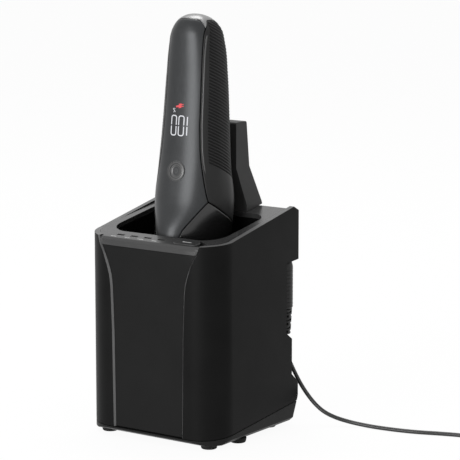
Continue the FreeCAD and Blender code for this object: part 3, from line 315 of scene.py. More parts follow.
CORD_THICKNESS = 2.4 * MM
ROUTE_MM = [
    (38.5, 36.0, 54.0), (38.5, 37.6, 47.0), (38.6, 41.2, 40.3), (39.2, 44.8, 33.8),
    (41.0, 47.2, 27.4), (44.6, 47.6, 21.6), (49.8, 46.6, 16.6), (55.2, 46.4, 11.8),
    (60.6, 47.4, 7.8), (66.6, 50.0, 4.9), (73.4, 53.0, 2.9), (80.8, 55.0, 1.8),
    (90.0, 56.4, 1.25), (102.0, 57.6, 1.25), (115.0, 60.4, 1.25), (128.0, 65.6, 1.25),
    (141.0, 69.6, 1.25), (154.0, 70.4, 1.25), (166.0, 70.2, 1.25),
]
COIL_CENTRE = (176.0, 88.0)
COIL_INNER, COIL_OUTER = 8.75, 17.8      # centre of the innermost and outermost turn
LAYER_TURNS = 4                          # turns in one layer of the coil
LAYERS = 4
LAYER_RISE = 2.38
LYING = 1.25                             # height of the cord's middle on the floor
POINTS_PER_TURN = 16


def coil_points():
    """Four layers of turns, each wound inwards or outwards on top of the last."""
    points = []
    steps = LAYER_TURNS * POINTS_PER_TURN
    for layer in range(LAYERS):
        for step in range(steps):
            share = step / steps
            inward = share if layer % 2 == 0 else 1.0 - share
            radius = COIL_OUTER + (COIL_INNER - COIL_OUTER) * inward
            turn = -math.pi / 2 + 2 * math.pi * step / POINTS_PER_TURN
            late = max(0.0, (share - 1.0) * LAYER_TURNS * 2 + 1.0)
            if layer == LAYERS - 1:
                late = 0.0
            height = LYING + LAYER_RISE * (layer + late)
            points.append((COIL_CENTRE[0] + radius * math.cos(turn),
                           COIL_CENTRE[1] + radius * math.sin(turn), height))
    return points


LEAD_MM = [(176.0, 70.2, 8.4), (181.0, 70.25, 8.2), (186.0, 70.3, 6.9), (191.0, 70.3, 5.5),
           (196.0, 70.3, 4.85), (200.0, 70.3, 4.8)]

cord_curve = bpy.data.curves.new("cord_line", "CURVE")
cord_curve.dimensions = "3D"
cord_curve.bevel_depth = CORD_THICKNESS / 2
cord_curve.bevel_resolution = 5
cord_curve.resolution_u = 6
cord_curve.use_fill_caps = True
cord_spline = cord_curve.splines.new("NURBS")
cord_places = ROUTE_MM + coil_points() + LEAD_MM
cord_spline.points.add(len(cord_places) - 1)
for knot, (x, y, z) in zip(cord_spline.points, cord_places):
    knot.co = (x * MM, y * MM, z * MM, 1.0)
cord_spline.order_u = 3
cord_spline.use_endpoint_u = True
cord = bpy.data.objects.new("supply_cord", cord_curve)
bpy.context.scene.collection.objects.link(cord)
cord.data.materials.append(FINISH["cord"])
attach(cord, "stand")
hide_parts("cord_tube", "cord_coil")

# ---------------------------------------------------------------- the handle's form

# height, half width, front, rear, widening to the rear, in millimetres; the last row is the pole
TOP = cad_high.z / MM - 0.03
STATIONS = (
    (108.0, 20.5, -26.6, 15.5, 8.5), (120.0, 20.9, -24.6, 18.0, 7.5),
    (135.0, 22.4, -18.4, 21.4, 2.2), (151.0, 20.9, -14.8, 21.6, 0.0),
    (178.0, 19.2, -11.4, 21.4, 0.0), (205.0, 17.6, -8.9, 21.0, 0.0),
    (222.0, 15.7, -7.9, 20.4, 0.0), (231.0, 13.4, -7.0, 18.6, 0.0),
    (236.3, 9.2, -4.6, 14.2, 0.0), (238.7, 5.2, -0.9, 9.0, 0.0), (TOP, 0.0, 3.6, 3.6, 0.0),
)
SECTION_POWER = 0.85
FOOT = STATIONS[0][0]                    # where the skins start, inside the basin
POLE = (0.0, 3.6, TOP)
STEEPEST = math.radians(88.0)            # furthest that the face reaches round the handle


def form_table():
    """The station values along one smooth line from the neck's rim to the pole."""
    knots = [np.array(row) for row in STATIONS]
    level, half, front, back, widen = STATIONS[-2]
    mirror = np.array((level, -half, back, front, widen))
    knots = [2 * knots[0] - knots[1]] + knots + [mirror]
    places = [0.0]
    for one, two in zip(knots, knots[1:]):
        places.append(places[-1] + math.hypot(two[0] - one[0], two[1] - one[1],
                                              (two[2] - one[2]) * 0.7))
    rows = []
    for i in range(1, len(knots) - 2):
        p0, p1, p2, p3 = places[i - 1:i + 3]
        k0, k1, k2, k3 = knots[i - 1:i + 3]
        m1 = ((k1 - k0) / (p1 - p0) * (p2 - p1) + (k2 - k1) / (p2 - p1) * (p1 - p0)) / (p2 - p0)
        m2 = ((k2 - k1) / (p2 - p1) * (p3 - p2) + (k3 - k2) / (p3 - p2) * (p2 - p1)) / (p3 - p1)
        for s in np.linspace(0.0, 1.0, 200, endpoint=False):
            h = p2 - p1
            value = ((2 * s ** 3 - 3 * s ** 2 + 1) * k1 + (s ** 3 - 2 * s ** 2 + s) * h * m1
                     + (-2 * s ** 3 + 3 * s ** 2) * k2 + (s ** 3 - s ** 2) * h * m2)
            rows.append((p1 + s * h, *value))
    rows.append((places[-2], *knots[-2]))
    return np.array(rows)


FORM = form_table()
FORM_LEVEL = np.maximum.accumulate(FORM[:, 1])


def along_at(level):
    """Where a height is, along the form line."""
    return np.interp(level, FORM_LEVEL, FORM[:, 0])


def section(angle, along):
    """Points of the handle's skin at angles round it (front is -90 degrees)."""
    level, half, front, rear, widen = (np.interp(along, FORM[:, 0], FORM[:, k])
                                       for k in range(1, 6))
    cosine, sine = np.cos(angle), np.sin(angle)
    deep = np.sign(sine) * np.abs(sine) ** SECTION_POWER
    wide = np.sign(cosine) * np.abs(cosine) ** SECTION_POWER
    x = wide * (half + widen * deep)
    y = (front + rear) / 2 + deep * (rear - front) / 2
    return np.stack([x, y, level + 0 * x], axis=-1)


def outward(angle, along):
    """Unit normals of the skin."""
    step = 0.004
    around = section(angle + step, along) - section(angle - step, along)
    up = section(angle, along + 0.1) - section(angle, along - 0.1)
    normal = np.cross(around, up)
    return normal / np.maximum(np.linalg.norm(normal, axis=-1, keepdims=True), 1e-9)


def solve(rising, low, high):
    """The root of a function that rises from low to high, for whole arrays."""
    low, high = low + 0.0, high + 0.0
    for _ in range(28):
        middle = (low + high) / 2
        above = rising(middle) > 0
        high = np.where(above, middle, high)
        low = np.where(above, low, middle)
    return (low + high) / 2


FACE_EDGE = ((108.0, 7.6), (115.0, 7.9), (120.0, 9.4), (135.0, 18.8), (139.0, 17.9),
             (145.0, 16.6), (151.0, 15.4), (157.0, 14.3), (164.0, 13.3), (178.0, 12.3),
             (200.0, 11.8), (231.6, 11.4), (245.0, 11.4))
CAP_LINE = 231.6                         # the cap's edge beside the face
CAP_CLIMB = 4.6                          # how much higher it runs round the sides and rear
FACE_TOP_HALF = 11.4                     # half width of the face under the cap
SEAM = 0.14                              # half of the gap between two skins
JOINT_LEVEL, JOINT_DEPTH = 135.0, -9.5
WING_LEVEL, WING_DEPTH = 117.5, 16.0
REAR_HALF = 8.0
FRONT = -math.pi / 2


def face_half(level):
    return np.interp(level, *zip(*FACE_EDGE))


def face_angle(level, extra=0.0):
    """Angle from the front to the face's edge, at a height."""
    along = along_at(level)
    want = face_half(level) + extra

    def too_wide(turn):
        return section(FRONT + turn, along)[..., 0] - want
    return solve(too_wide, np.zeros_like(along), np.full_like(along, STEEPEST))


def rear_angle(level, extra=0.0):
    """Angle from the front to the rear panel's edge, at a height."""
    along = along_at(level)

    def too_near(turn):
        return REAR_HALF + extra - section(FRONT + turn, along)[..., 0]
    return solve(too_near, np.full_like(along, math.radians(95.0)),
                 np.full_like(along, math.pi))


def smooth(value, low, high):
    share = np.clip((value - low) / (high - low), 0.0, 1.0)
    return share * share * (3 - 2 * share)


def side_line(turn):
    """Height of the cap's edge at an angle from the front, past the face."""
    return CAP_LINE + CAP_CLIMB * smooth(turn, 0.95, 1.45)


def arch(share):
    """Height of the face's top edge at a share of its half width."""
    share = np.minimum(np.abs(share), 1.0)
    return CAP_LINE + 5.7 - 1.2 * share ** 2 - 4.5 * share ** 6


def spaced(count, length, borders=(0.12, 0.3, 0.55, 0.9)):
    """Shares of a length: close together at both ends, even between."""
    near = [0.0] + [b / length for b in borders]
    even = list(np.linspace(near[-1], 1 - near[-1], count + 1 - 2 * (len(near) - 1)))
    return np.array(near[:-1] + even + [1 - v for v in reversed(near[:-1])])


def skin_piece(name, across, up, place, lift, finish, body, wall=1.0, closed=False,
               round_over=0.35):
    """A sheet laid on the handle's form, lifted from it, given a wall and a rounded border."""
    turns, levels = np.meshgrid(across, up)
    angle, along = place(turns, levels)
    points = section(angle, along)
    side = np.zeros(turns.shape)
    side[:, 1:] = np.cumsum(np.linalg.norm(np.diff(points, axis=1), axis=-1), axis=1)
    rise = np.zeros(turns.shape)
    rise[1:] = np.cumsum(np.linalg.norm(np.diff(points, axis=0), axis=-1), axis=0)
    border = np.minimum(rise, rise[-1:] - rise)
    if closed:
        border = rise
    else:
        border = np.minimum(border, np.minimum(side, side[:, -1:] - side))
    fall = -round_over * (1 - np.minimum(border / 0.55, 1.0)) ** 2
    raised = fall + (lift(points, side, rise, border) if lift else 0.0)
    places = points + outward(angle, along) * raised[..., None]
    if closed:
        places[-1] = POLE
    columns, rows = len(across) - 1, len(up) - 1
    work = bmesh.new()
    bmesh.ops.create_grid(work, x_segments=columns, y_segments=rows, size=1.0)
    places_of = []
    for vert in work.verts:
        i = round((vert.co.x + 1) / 2 * columns)
        j = round((vert.co.y + 1) / 2 * rows)
        vert.co = Vector(places[j, i]) * MM
        places_of.append((j, i))
    if closed:
        bmesh.ops.remove_doubles(work, verts=work.verts, dist=1e-6)
    made = mesh_piece(name, work, finish, body)
    if lift and not closed:
        # the groove depth, which the grip's finish turns into painted shade
        depth = made.data.attributes.new("groove", "FLOAT", "POINT")
        for number, vert in enumerate(places_of):
            depth.data[number].value = float(-raised[vert] / RIB_RISE)
    skin = made.modifiers.new("wall", "SOLIDIFY")
    skin.thickness = wall * MM
    skin.offset = -1.0
    skin.use_rim = True
    return made


# the face: a long satin panel from the neck to the arch under the cap
def face_place(turns, levels):
    share = turns * 2 - 1
    top = arch(share) - SEAM
    low = FOOT + 0.3
    level = low + levels * (top - low)
    along = along_at(level)
    want = np.abs(share) * (face_half(level) - SEAM)

    def too_wide(turn):
        return section(FRONT + turn, along)[..., 0] - want
    turn = solve(too_wide, np.zeros_like(level), np.full_like(level, STEEPEST))
    return FRONT + np.sign(share) * turn, along


face = skin_piece("face_skin", spaced(64, 24.0), spaced(220, 126.0), face_place, None,
                  FINISH["face"], "shaver", wall=1.2)
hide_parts("face_panel")


# the cap: the silver dome over the tip
def cap_place(turns, levels):
    angle = FRONT + turns * 2 * math.pi
    turn = np.minimum(turns, 1 - turns) * 2 * math.pi
    corner = face_angle(np.array(CAP_LINE))

    def above_line(level):
        across = section(angle, along_at(level))[..., 0]
        return level - np.where(turn < corner, arch(across / FACE_TOP_HALF), side_line(turn))
    level = solve(above_line, np.full_like(angle, 228.0), np.full_like(angle, 238.5))
    start = along_at(level + SEAM)
    end = FORM[-1, 0]
    return angle, start + (end - start) * levels


cap_rows = np.concatenate([[0.0, 0.012, 0.03, 0.06], np.linspace(0.1, 1.0, 30)])
cap = skin_piece("cap_skin", np.linspace(0.0, 1.0, 145), cap_rows, cap_place, None,
                 FINISH["cap"], "shaver", wall=1.0, closed=True)
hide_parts("end_cap")


# the rubber grips: plain along the face, ribbed behind, smooth below
def seam_level(depth):
    """Height of the seam between grip and neck, at a depth."""
    slope = (WING_LEVEL - JOINT_LEVEL) / (WING_DEPTH - JOINT_DEPTH)
    return np.where(depth < WING_DEPTH, JOINT_LEVEL + (depth - JOINT_DEPTH) * slope, WING_LEVEL)


RIB_PITCH, RIB_SLOPE, RIB_RISE = 1.78, 0.46, 0.62
RIB_START = 4.2                          # plain band beside the face, measured round the skin
RIB_FOOT, RIB_FOOT_SLOPE = 156.8, 0.48   # where the ribs end below, falling to the rear
TRIM_FOOT, TRIM_TOP = 150.0, CAP_LINE - 3.5


def rib_lift(points, side, rise, border):
    """How deep the skin sinks between the slanting ribs."""
    level = points[..., 2]
    wave = 0.5 + 0.5 * np.cos(2 * math.pi * (level + RIB_SLOPE * side) / RIB_PITCH)
    lower = RIB_FOOT - RIB_FOOT_SLOPE * np.maximum(side - RIB_START, 0.0)
    mask = (smooth(side, RIB_START, RIB_START + 0.7) * smooth(level, lower - 0.5, lower + 0.7)
            * smooth(border, 0.3, 1.2))
    return mask * (wave - 1.0) * RIB_RISE


for side_name, way in (("left", -1), ("right", 1)):
    def grip_place(turns, levels, way=way):
        turns = turns if way > 0 else 1 - turns

        def turn_at(level):
            level = np.minimum(level, CAP_LINE)
            return face_angle(level, SEAM) * (1 - turns) + rear_angle(level, SEAM) * turns

        def above_seam(level):
            points = section(FRONT + turn_at(level), along_at(level))
            return level - seam_level(points[..., 1])
        bottom = solve(above_seam, np.full_like(turns, 116.0), np.full_like(turns, 136.0))
        top = side_line(turn_at(np.full_like(turns, CAP_LINE)))
        level = bottom + SEAM + levels * (top - 2 * SEAM - bottom)
        return FRONT + way * turn_at(level), along_at(level)

    def grip_lift(points, side, rise, border, way=way):
        if way < 0:
            side = side[:, -1:] - side
        return rib_lift(points, side, rise, border)

    grip = skin_piece(f"grip_skin_{side_name}", spaced(84, 32.0), spaced(430, 100.0), grip_place,
                      grip_lift, FINISH["grip"], "shaver", wall=1.2)
    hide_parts(f"grip_{side_name}")

    def trim_place(turns, levels, way=way):
        turns = turns if way > 0 else 1 - turns
        level = TRIM_FOOT + levels * (TRIM_TOP - TRIM_FOOT)
        inner, outer = face_angle(level, SEAM + 0.75), face_angle(level, SEAM + 1.3)
        return FRONT + way * (inner + (outer - inner) * turns), along_at(level)

    skin_piece(f"edge_trim_{side_name}", np.linspace(0, 1, 7), spaced(120, 80.0), trim_place,
               lambda points, side, rise, border: 0.12 * smooth(rise, 0.0, 6.0) + 0 * side,
               FINISH["trim"], "shaver", wall=0.3, round_over=0.1)


# the rear panel between the grips
def rear_place(turns, levels):
    level = WING_LEVEL + SEAM + levels * (CAP_LINE + CAP_CLIMB - 2 * SEAM - WING_LEVEL)
    edge = rear_angle(np.minimum(level, CAP_LINE), -SEAM)
    return FRONT + edge + (2 * math.pi - 2 * edge) * turns, along_at(level)


rear = skin_piece("rear_skin", spaced(40, 16.0), spaced(160, 113.0), rear_place, None,
                  FINISH["face"], "shaver", wall=1.2)
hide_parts("back_panel")


# the gloss neck under the two lower seams
def neck_place(turns, levels):
    share = np.abs(turns * 2 - 1)              # 1 beside the face, 0 at the rear
    start = face_angle(np.full_like(turns, FOOT), SEAM)
    turn = math.pi + (start - math.pi) * share
    joint_turn = face_angle(np.full_like(turns, JOINT_LEVEL))

    def above_face_edge(level):
        return face_half(np.minimum(level, JOINT_LEVEL)) - section(
            FRONT + turn, along_at(level))[..., 0]

    def above_seam(level):
        return level - seam_level(section(FRONT + turn, along_at(level))[..., 1])
    low, high = np.full_like(turns, FOOT + 0.5), np.full_like(turns, JOINT_LEVEL)
    top = np.where(turn < joint_turn, solve(above_face_edge, low, high),
                   solve(above_seam, low, high))
    top = np.minimum(top, JOINT_LEVEL) - 2 * SEAM
    level = FOOT + levels * np.maximum(top - FOOT, 0.3)
    return FRONT + np.where(turns < 0.5, turn, 2 * math.pi - turn), along_at(level)


neck = skin_piece("neck_skin", np.linspace(0.0, 1.0, 221), spaced(48, 24.0), neck_place, None,
                  FINISH["neck"], "shaver", wall=1.6, round_over=0.25)
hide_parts("neck_shell")

# ---------------------------------------------------------------- pieces with softened edges

NODE_BODY = {}
for body_name, body in frame["record"]["behaviour"]["bodies"].items():
    for node in body:
        NODE_BODY[node] = body_name


def softened(node, finish, width=0.4, steps=2, angle=35.0, shape=None, second=None):
    """A copy of a node with welded corners and rounded edges, in place of the plain one."""
    work = bmesh.new()
    work.from_mesh(frame["nodes"][node].data)
    bmesh.ops.remove_doubles(work, verts=work.verts, dist=2e-6)
    bmesh.ops.dissolve_limit(work, angle_limit=math.radians(1.2), verts=work.verts,
                             edges=work.edges)
    if shape:
        shape(work)
    made = mesh_piece(f"{node}_soft", work, finish, NODE_BODY[node])
    if second:
        made.data.materials.append(second)
    made.data.set_sharp_from_angle(angle=math.radians(angle))
    edge = made.modifiers.new("soft_edges", "BEVEL")
    edge.width = width * MM
    edge.segments = steps
    edge.limit_method = "ANGLE"
    edge.angle_limit = math.radians(angle)
    edge.use_clamp_overlap = True
    edge.harden_normals = True
    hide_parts(node)
    return made


def paint_lit_top(work):
    """The cover's upper edge gets the lighter finish, a painted highlight for the light falling
    from above.
    """
    work.normal_update()
    for face in work.faces:
        if face.normal.z > 0.6 and face.calc_center_median().z > 100 * MM:
            face.material_index = 1


WINDOW_CHANGE = ((0.0, -0.9), (60.0, -1.3), (88.0, -1.6), (95.0, -1.0), (101.0, 0.6),
                 (106.0, 2.6), (110.0, 4.9), (113.0, 6.8), (118.0, 7.6))
FLARE_CUTS = (60.0, 75.0, 84.0, 88.0, 91.0, 94.0, 97.0, 99.5, 102.0, 104.0, 106.0, 108.0,
              109.5, 111.0, 112.2, 113.4)
FLAT_END, CORNER_Y, CORNER_RADIUS = 28.2, -24.5, 18.0
STAND_FRONT = CORNER_Y - CORNER_RADIUS
PANEL_BACK = -38.6                       # the front panel and window edges lie before this
WINDOW_SIDE, FLARE_END = 27.0, 50.0      # along the outline, from the middle
FLARE_START = 12.0
DECK_FOOT = 109.0                        # the sloping deck starts above this
DECK_SLOPE = 0.16


def flare(work):
    """Widen the front window towards its top, round the stand's front corners."""
    for level in FLARE_CUTS:
        bmesh.ops.bisect_plane(work, geom=work.verts[:] + work.edges[:] + work.faces[:],
                               plane_co=(0, 0, level * MM), plane_no=(0, 0, 1))
    for side in (-1, 1):
        for across in (20.0, 26.0):
            bmesh.ops.bisect_plane(work, geom=work.verts[:] + work.edges[:] + work.faces[:],
                                   plane_co=(side * across * MM, 0, 0), plane_no=(1, 0, 0))
    for vert in work.verts:
        x, y, z = vert.co / MM
        if y > CORNER_Y or (y > PANEL_BACK and abs(x) < FLAT_END):
            continue
        change = float(np.interp(z, *zip(*WINDOW_CHANGE)))
        if abs(x) <= FLAT_END:
            path, depth = abs(x), y - STAND_FRONT
        else:
            reach = math.hypot(abs(x) - FLAT_END, y - CORNER_Y)
            turn = math.atan2(abs(x) - FLAT_END, CORNER_Y - y)
            path, depth = FLAT_END + CORNER_RADIUS * turn, CORNER_RADIUS - reach
        if path <= WINDOW_SIDE:
            path += change * max(0.0, path - FLARE_START) / (WINDOW_SIDE - FLARE_START)
        elif path < FLARE_END:
            path = (WINDOW_SIDE + change
                    + (path - WINDOW_SIDE) * (1 - change / (FLARE_END - WINDOW_SIDE)))
        if path <= FLAT_END:
            out, back = path, STAND_FRONT + depth
        else:
            turn = (path - FLAT_END) / CORNER_RADIUS
            out = FLAT_END + (CORNER_RADIUS - depth) * math.sin(turn)
            back = CORNER_Y - (CORNER_RADIUS - depth) * math.cos(turn)
        if z > DECK_FOOT:
            z += DECK_SLOPE * (back - y)
        vert.co = Vector((math.copysign(out, x), back, z)) * MM


def cover_edges(work):
    """Cut the wide chamfer along the cover's edge beside the front panel."""
    paint_lit_top(work)
    chamfer_window(work)
    flare(work)


def chamfer_window(work):
    """Bevel the long edges of the front window, and give the chamfer the lighter finish, a painted
    highlight.
    """
    front = cad_low.y + 0.4 * MM
    chosen = []
    for edge in work.edges:
        middle = (edge.verts[0].co + edge.verts[1].co) / 2
        if len(edge.link_faces) != 2 or middle.z < 8 * MM or middle.y > -38.0 * MM:
            continue
        if 22.0 * MM < abs(middle.x) < 36.0 * MM and middle.z < 114.5 * MM:
            turn = edge.calc_face_angle(0.0)
            outer = max(edge.link_faces, key=lambda f: -f.normal.y)
            if turn > math.radians(50) and outer.normal.y < -0.7 and middle.y < front + 2 * MM:
                chosen.append(edge)
    if chosen:
        made = bmesh.ops.bevel(work, geom=chosen, offset=1.0 * MM, segments=1, profile=0.5,
                               affect="EDGES", material=-1, offset_type="OFFSET")
        for face in made["faces"]:
            face.material_index = 1


# the second finish of the side covers and rear cover paints a highlight on their upper edges and
# chamfers
for side_name in ("left", "right"):
    softened(f"side_cover_{side_name}", FINISH["cover"], 0.35, 2, 40.0, cover_edges,
             second=FINISH["rim"])
softened("front_panel", FINISH["front_panel"], 0.3, 2, shape=flare)
softened("rear_cover", FINISH["rear"], 0.5, 2, second=FINISH["rim"], shape=paint_lit_top)
softened("deck", FINISH["deck"], 1.2, 4, 30.0, shape=flare)
softened("wash_basin", FINISH["basin"], 0.4, 2)
softened("select_button", FINISH["deck"], 0.25, 3)
softened("contact_arm", FINISH["arm"], 0.5, 3)
softened("tray_shell", FINISH["tray"], 0.5, 2)
softened("tray_feet", FINISH["rubber"], 0.6, 3)
softened("water_tank", FINISH["tank"], 0.8, 3)
softened("tank_lid", FINISH["tray"], 0.5, 2)
softened("head_base", FINISH["head"], 0.7, 3)
softened("foil_frame", FINISH["head"], 0.8, 3)
softened("trimmer", FINISH["steel"], 0.3, 2)
softened("wall_adapter", FINISH["adapter"], 0.8, 3)
softened("adapter_pins", FINISH["steel"], 0.3, 2)
softened("indicator_lenses", FINISH["lens"], 0.15, 2)

for node, finish in {
    "case_screws": "steel", "indicator_board": "board", "contact_pins": "brass",
    "chassis": "inner", "inlet_socket": "inner", "pump_housing": "inner",
    "pump_impeller": "inner", "fan_housing": "inner", "fan_rotor": "inner",
    "inner_frame": "inner", "control_board": "board", "main_board": "board",
    "pump_motor": "steel", "water_hoses": "rubber", "tray_lid": "tray",
    "detergent_cartridge": "cartridge", "release_left": "head", "release_right": "head",
    "battery": "cell", "motor_stator": "steel", "motor_mover": "steel", "pivot_pins": "steel",
    "foils": "steel", "inner_blades": "steel", "display_module": "lens",
    "charging_terminals": "brass",
}.items():
    finish_node(node, FINISH[finish])

# ---------------------------------------------------------------- plug and strain relief

PLUG_PLACE = (38.5, 36.0)


def turned_piece(name, profile, around, finish, body, relief=None):
    """A turned solid: rows of (radius, height) round an upright line, with an optional relief."""
    rows = len(profile) - 1
    work = bmesh.new()
    bmesh.ops.create_grid(work, x_segments=around, y_segments=rows, size=1.0)
    for vert in work.verts:
        i = round((vert.co.x + 1) / 2 * around)
        j = round((vert.co.y + 1) / 2 * rows)
        radius, height = profile[j]
        turn = 2 * math.pi * i / around
        if relief:
            radius += relief(turn, height, j)
        vert.co = Vector((PLUG_PLACE[0] + radius * math.cos(turn),
                          PLUG_PLACE[1] + radius * math.sin(turn), height)) * MM
    bmesh.ops.remove_doubles(work, verts=work.verts, dist=1e-6)
    bmesh.ops.recalc_face_normals(work, faces=work.faces)
    made = mesh_piece(name, work, finish, body)
    made.data.set_sharp_from_angle(angle=math.radians(50))
    return made


def plug_profile():
    """The moulded grip with fine ribs, a waist at the top and the bare nose above it."""
    rows = [(0.0, 69.0), (4.6, 69.0), (5.6, 69.15), (6.1, 69.7)]
    height = 70.3
    while height < 92.5:
        for step, sink in ((0.0, 0.0), (0.35, 0.0), (0.5, 0.22), (0.8, 0.22), (0.95, 0.0)):
            rows.append((6.25 - sink, height + step))
        height += 2.3
    rows += [(6.2, 94.0), (5.7, 96.0), (5.0, 96.75), (2.6, 96.8), (2.6, 104.6), (2.2, 104.95),
             (0.0, 104.95)]
    return rows


plug = turned_piece("plug_moulding", plug_profile(), 48, FINISH["plug"], "stand")
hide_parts("appliance_plug")

RELIEF_ROWS = [(0.0, 54.0), (4.3, 54.0), (4.8, 54.15)]
RELIEF_ROWS += [(5.0 + 0.8 * (h - 54.4) / 14.4, h) for h in np.linspace(54.4, 68.8, 73)]
RELIEF_ROWS += [(4.6, 69.0), (0.0, 69.0)]


def relief_slots(turn, height, row):
    """Slots in staggered rows, so that the sleeve bends like a spring."""
    if not 54.6 < height < 68.4:
        return 0.0
    tier = (height - 54.6) / 2.3
    phase = turn * 4 / (2 * math.pi) + (0.5 if int(tier) % 2 else 0.0)
    across = abs((phase % 1.0) - 0.5)
    up = abs((tier % 1.0) - 0.5)
    return -1.1 if across < 0.34 and up < 0.27 else 0.0


relief = turned_piece("relief_sleeve", RELIEF_ROWS, 96, FINISH["plug"], "stand",
                      relief_slots)
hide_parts("strain_relief")

# ---------------------------------------------------------------- details on the face

def face_place_at(x, level, lift):
    """A point over the face, at a sideways place and a height, lifted off it."""
    along = along_at(np.array([level]))
    turn = solve(lambda t: section(FRONT + t, along)[..., 0] - abs(x), np.zeros(1),
                 np.full(1, STEEPEST))
    angle = FRONT + math.copysign(1.0, x) * turn
    return Vector((section(angle, along) + outward(angle, along) * lift)[0])


def face_turn(level):
    """The matrix that stands a flat shape on the face at x = 0."""
    along = along_at(np.array([level]))
    angle = np.array([FRONT])
    out = Vector(outward(angle, along)[0])
    side = Vector((1.0, 0.0, 0.0))
    up = out.cross(side)
    turn = Matrix((side, up, out)).transposed().to_4x4()
    turn.translation = Vector(section(angle, along)[0])
    return turn


def spun(name, profile, level, finish, body, around=72):
    """A turned disc, ring or button that stands on the face."""
    work = bmesh.new()
    verts = [work.verts.new((radius, 0.0, height)) for radius, height in profile]
    edges = [work.edges.new(pair) for pair in zip(verts, verts[1:])]
    bmesh.ops.spin(work, geom=verts + edges, cent=(0, 0, 0), axis=(0, 0, 1),
                   angle=2 * math.pi, steps=around, use_merge=True)
    bmesh.ops.remove_doubles(work, verts=work.verts, dist=1e-5)
    bmesh.ops.recalc_face_normals(work, faces=work.faces)
    bmesh.ops.transform(work, matrix=Matrix.Scale(MM, 4) @ face_turn(level), verts=work.verts)
    made = mesh_piece(name, work, finish, body)
    made.data.set_sharp_from_angle(angle=math.radians(40))
    return made


POWER_LEVEL = 152.0
ring = spun("power_ring_turned", [(4.35, -1.2), (4.35, 0.10), (4.5, 0.22), (5.1, 0.18),
                                  (5.35, 0.02), (5.45, -0.05), (5.6, 0.16), (5.8, 0.16),
                                  (5.9, -0.2), (5.9, -1.2), (4.35, -1.2)],
            POWER_LEVEL, FINISH["ring"], "shaver")
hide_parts("power_ring")
button = spun("power_button_turned", [(0.0, -0.12), (1.2, -0.10), (2.4, -0.02), (2.75, 0.12),
                                      (2.95, 0.16), (3.15, 0.02), (3.6, 0.06), (4.0, 0.06),
                                      (4.2, -0.1), (4.2, -2.4), (0.0, -2.4)],
              POWER_LEVEL, FINISH["button"], "power_button")
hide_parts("power_button")


def stroke(work, points, width, thick):
    """A flat line of some width along points on the face, with its own thickness."""
    rows = []
    for i, (x, level) in enumerate(points):
        before = points[max(i - 1, 0)]
        after = points[min(i + 1, len(points) - 1)]
        dx, dz = after[0] - before[0], after[1] - before[1]
        size = math.hypot(dx, dz) or 1.0
        nx, nz = -dz / size * width / 2, dx / size * width / 2
        rows.append([work.verts.new(face_place_at(x + s * nx, level + s * nz, lift) * MM)
                     for s, lift in ((1, 0.02), (1, thick), (-1, thick), (-1, 0.02))])
    for one, two in zip(rows, rows[1:]):
        for k in range(4):
            work.faces.new((one[k], one[(k + 1) % 4], two[(k + 1) % 4], two[k]))
    work.faces.new(rows[0])
    work.faces.new(list(reversed(rows[-1])))


def strokes_piece(name, lines, width, finish, body="shaver", thick=0.07):
    """Several strokes on the face as one piece."""
    work = bmesh.new()
    for line in lines:
        stroke(work, line, width, thick)
    bmesh.ops.recalc_face_normals(work, faces=work.faces)
    return mesh_piece(name, work, finish, body, smooth=False)


def half_ring(centre, half, low, high, corner, up):
    """The upright-arch or bowl half of a segmented nought."""
    far, near, way = (high, low, 1) if up else (low, high, -1)
    points = [(centre - half, near)]
    for middle, start in ((centre - half + corner, math.pi), (centre + half - corner, math.pi / 2)):
        for turn in np.linspace(start, start - math.pi / 2, 9):
            points.append((middle + corner * math.cos(turn),
                           far + corner * (math.sin(turn) - 1) * way))
    return points + [(centre + half, near)]


DIGIT_LOW, DIGIT_HIGH, DIGIT_MIDDLE, DIGIT_GAP = 171.9, 182.9, 177.4, 0.35
digit_lines = []
for centre in (-3.85, 1.35):
    digit_lines.append(half_ring(centre, 1.75, DIGIT_MIDDLE + DIGIT_GAP, DIGIT_HIGH, 1.2, True))
    digit_lines.append(half_ring(centre, 1.75, DIGIT_LOW, DIGIT_MIDDLE - DIGIT_GAP, 1.2, False))
digit_lines.append([(5.25, DIGIT_MIDDLE + DIGIT_GAP), (5.25, DIGIT_HIGH - 0.3)])
digit_lines.append([(5.25, DIGIT_LOW + 0.3), (5.25, DIGIT_MIDDLE - DIGIT_GAP)])
strokes_piece("display_digits", digit_lines, 0.62, FINISH["digits"])
strokes_piece("display_percent", [
    [(-5.0, 186.8), (-3.3, 184.9)], [(-4.0, 186.9), (-3.6, 186.6)], [(-4.6, 185.0), (-4.2, 184.8)],
], 0.42, FINISH["digits"])
strokes_piece("display_plug_icon", [
    [(-1.5, 188.3), (1.0, 188.8)], [(-1.1, 187.6), (0.7, 187.9)], [(-0.9, 189.1), (0.8, 189.5)],
    [(-2.9, 187.9), (-1.3, 188.3)],
], 0.95, FINISH["plug_icon"])
strokes_piece("display_plug_prongs", [
    [(0.9, 188.15), (2.3, 188.45)], [(0.8, 189.2), (2.2, 189.5)],
], 0.42, FINISH["plug_icon"])

ring_line = [(1.15 * math.cos(t), POWER_LEVEL + 1.15 * math.sin(t))
             for t in np.linspace(0.0, 2 * math.pi, 33)]
strokes_piece("power_mark", [
    ring_line, [(0.0, POWER_LEVEL - 0.55), (0.0, POWER_LEVEL + 0.55)],
], 0.28, FINISH["trim"], "power_button", thick=0.05)

# ---------------------------------------------------------------- marks on the deck

DECK_FRONT = 115.0                       # height of the deck's front edge
SELECT_MARK_LIFT = 0.32                  # the button's top stands above the deck
LAMPS = 4


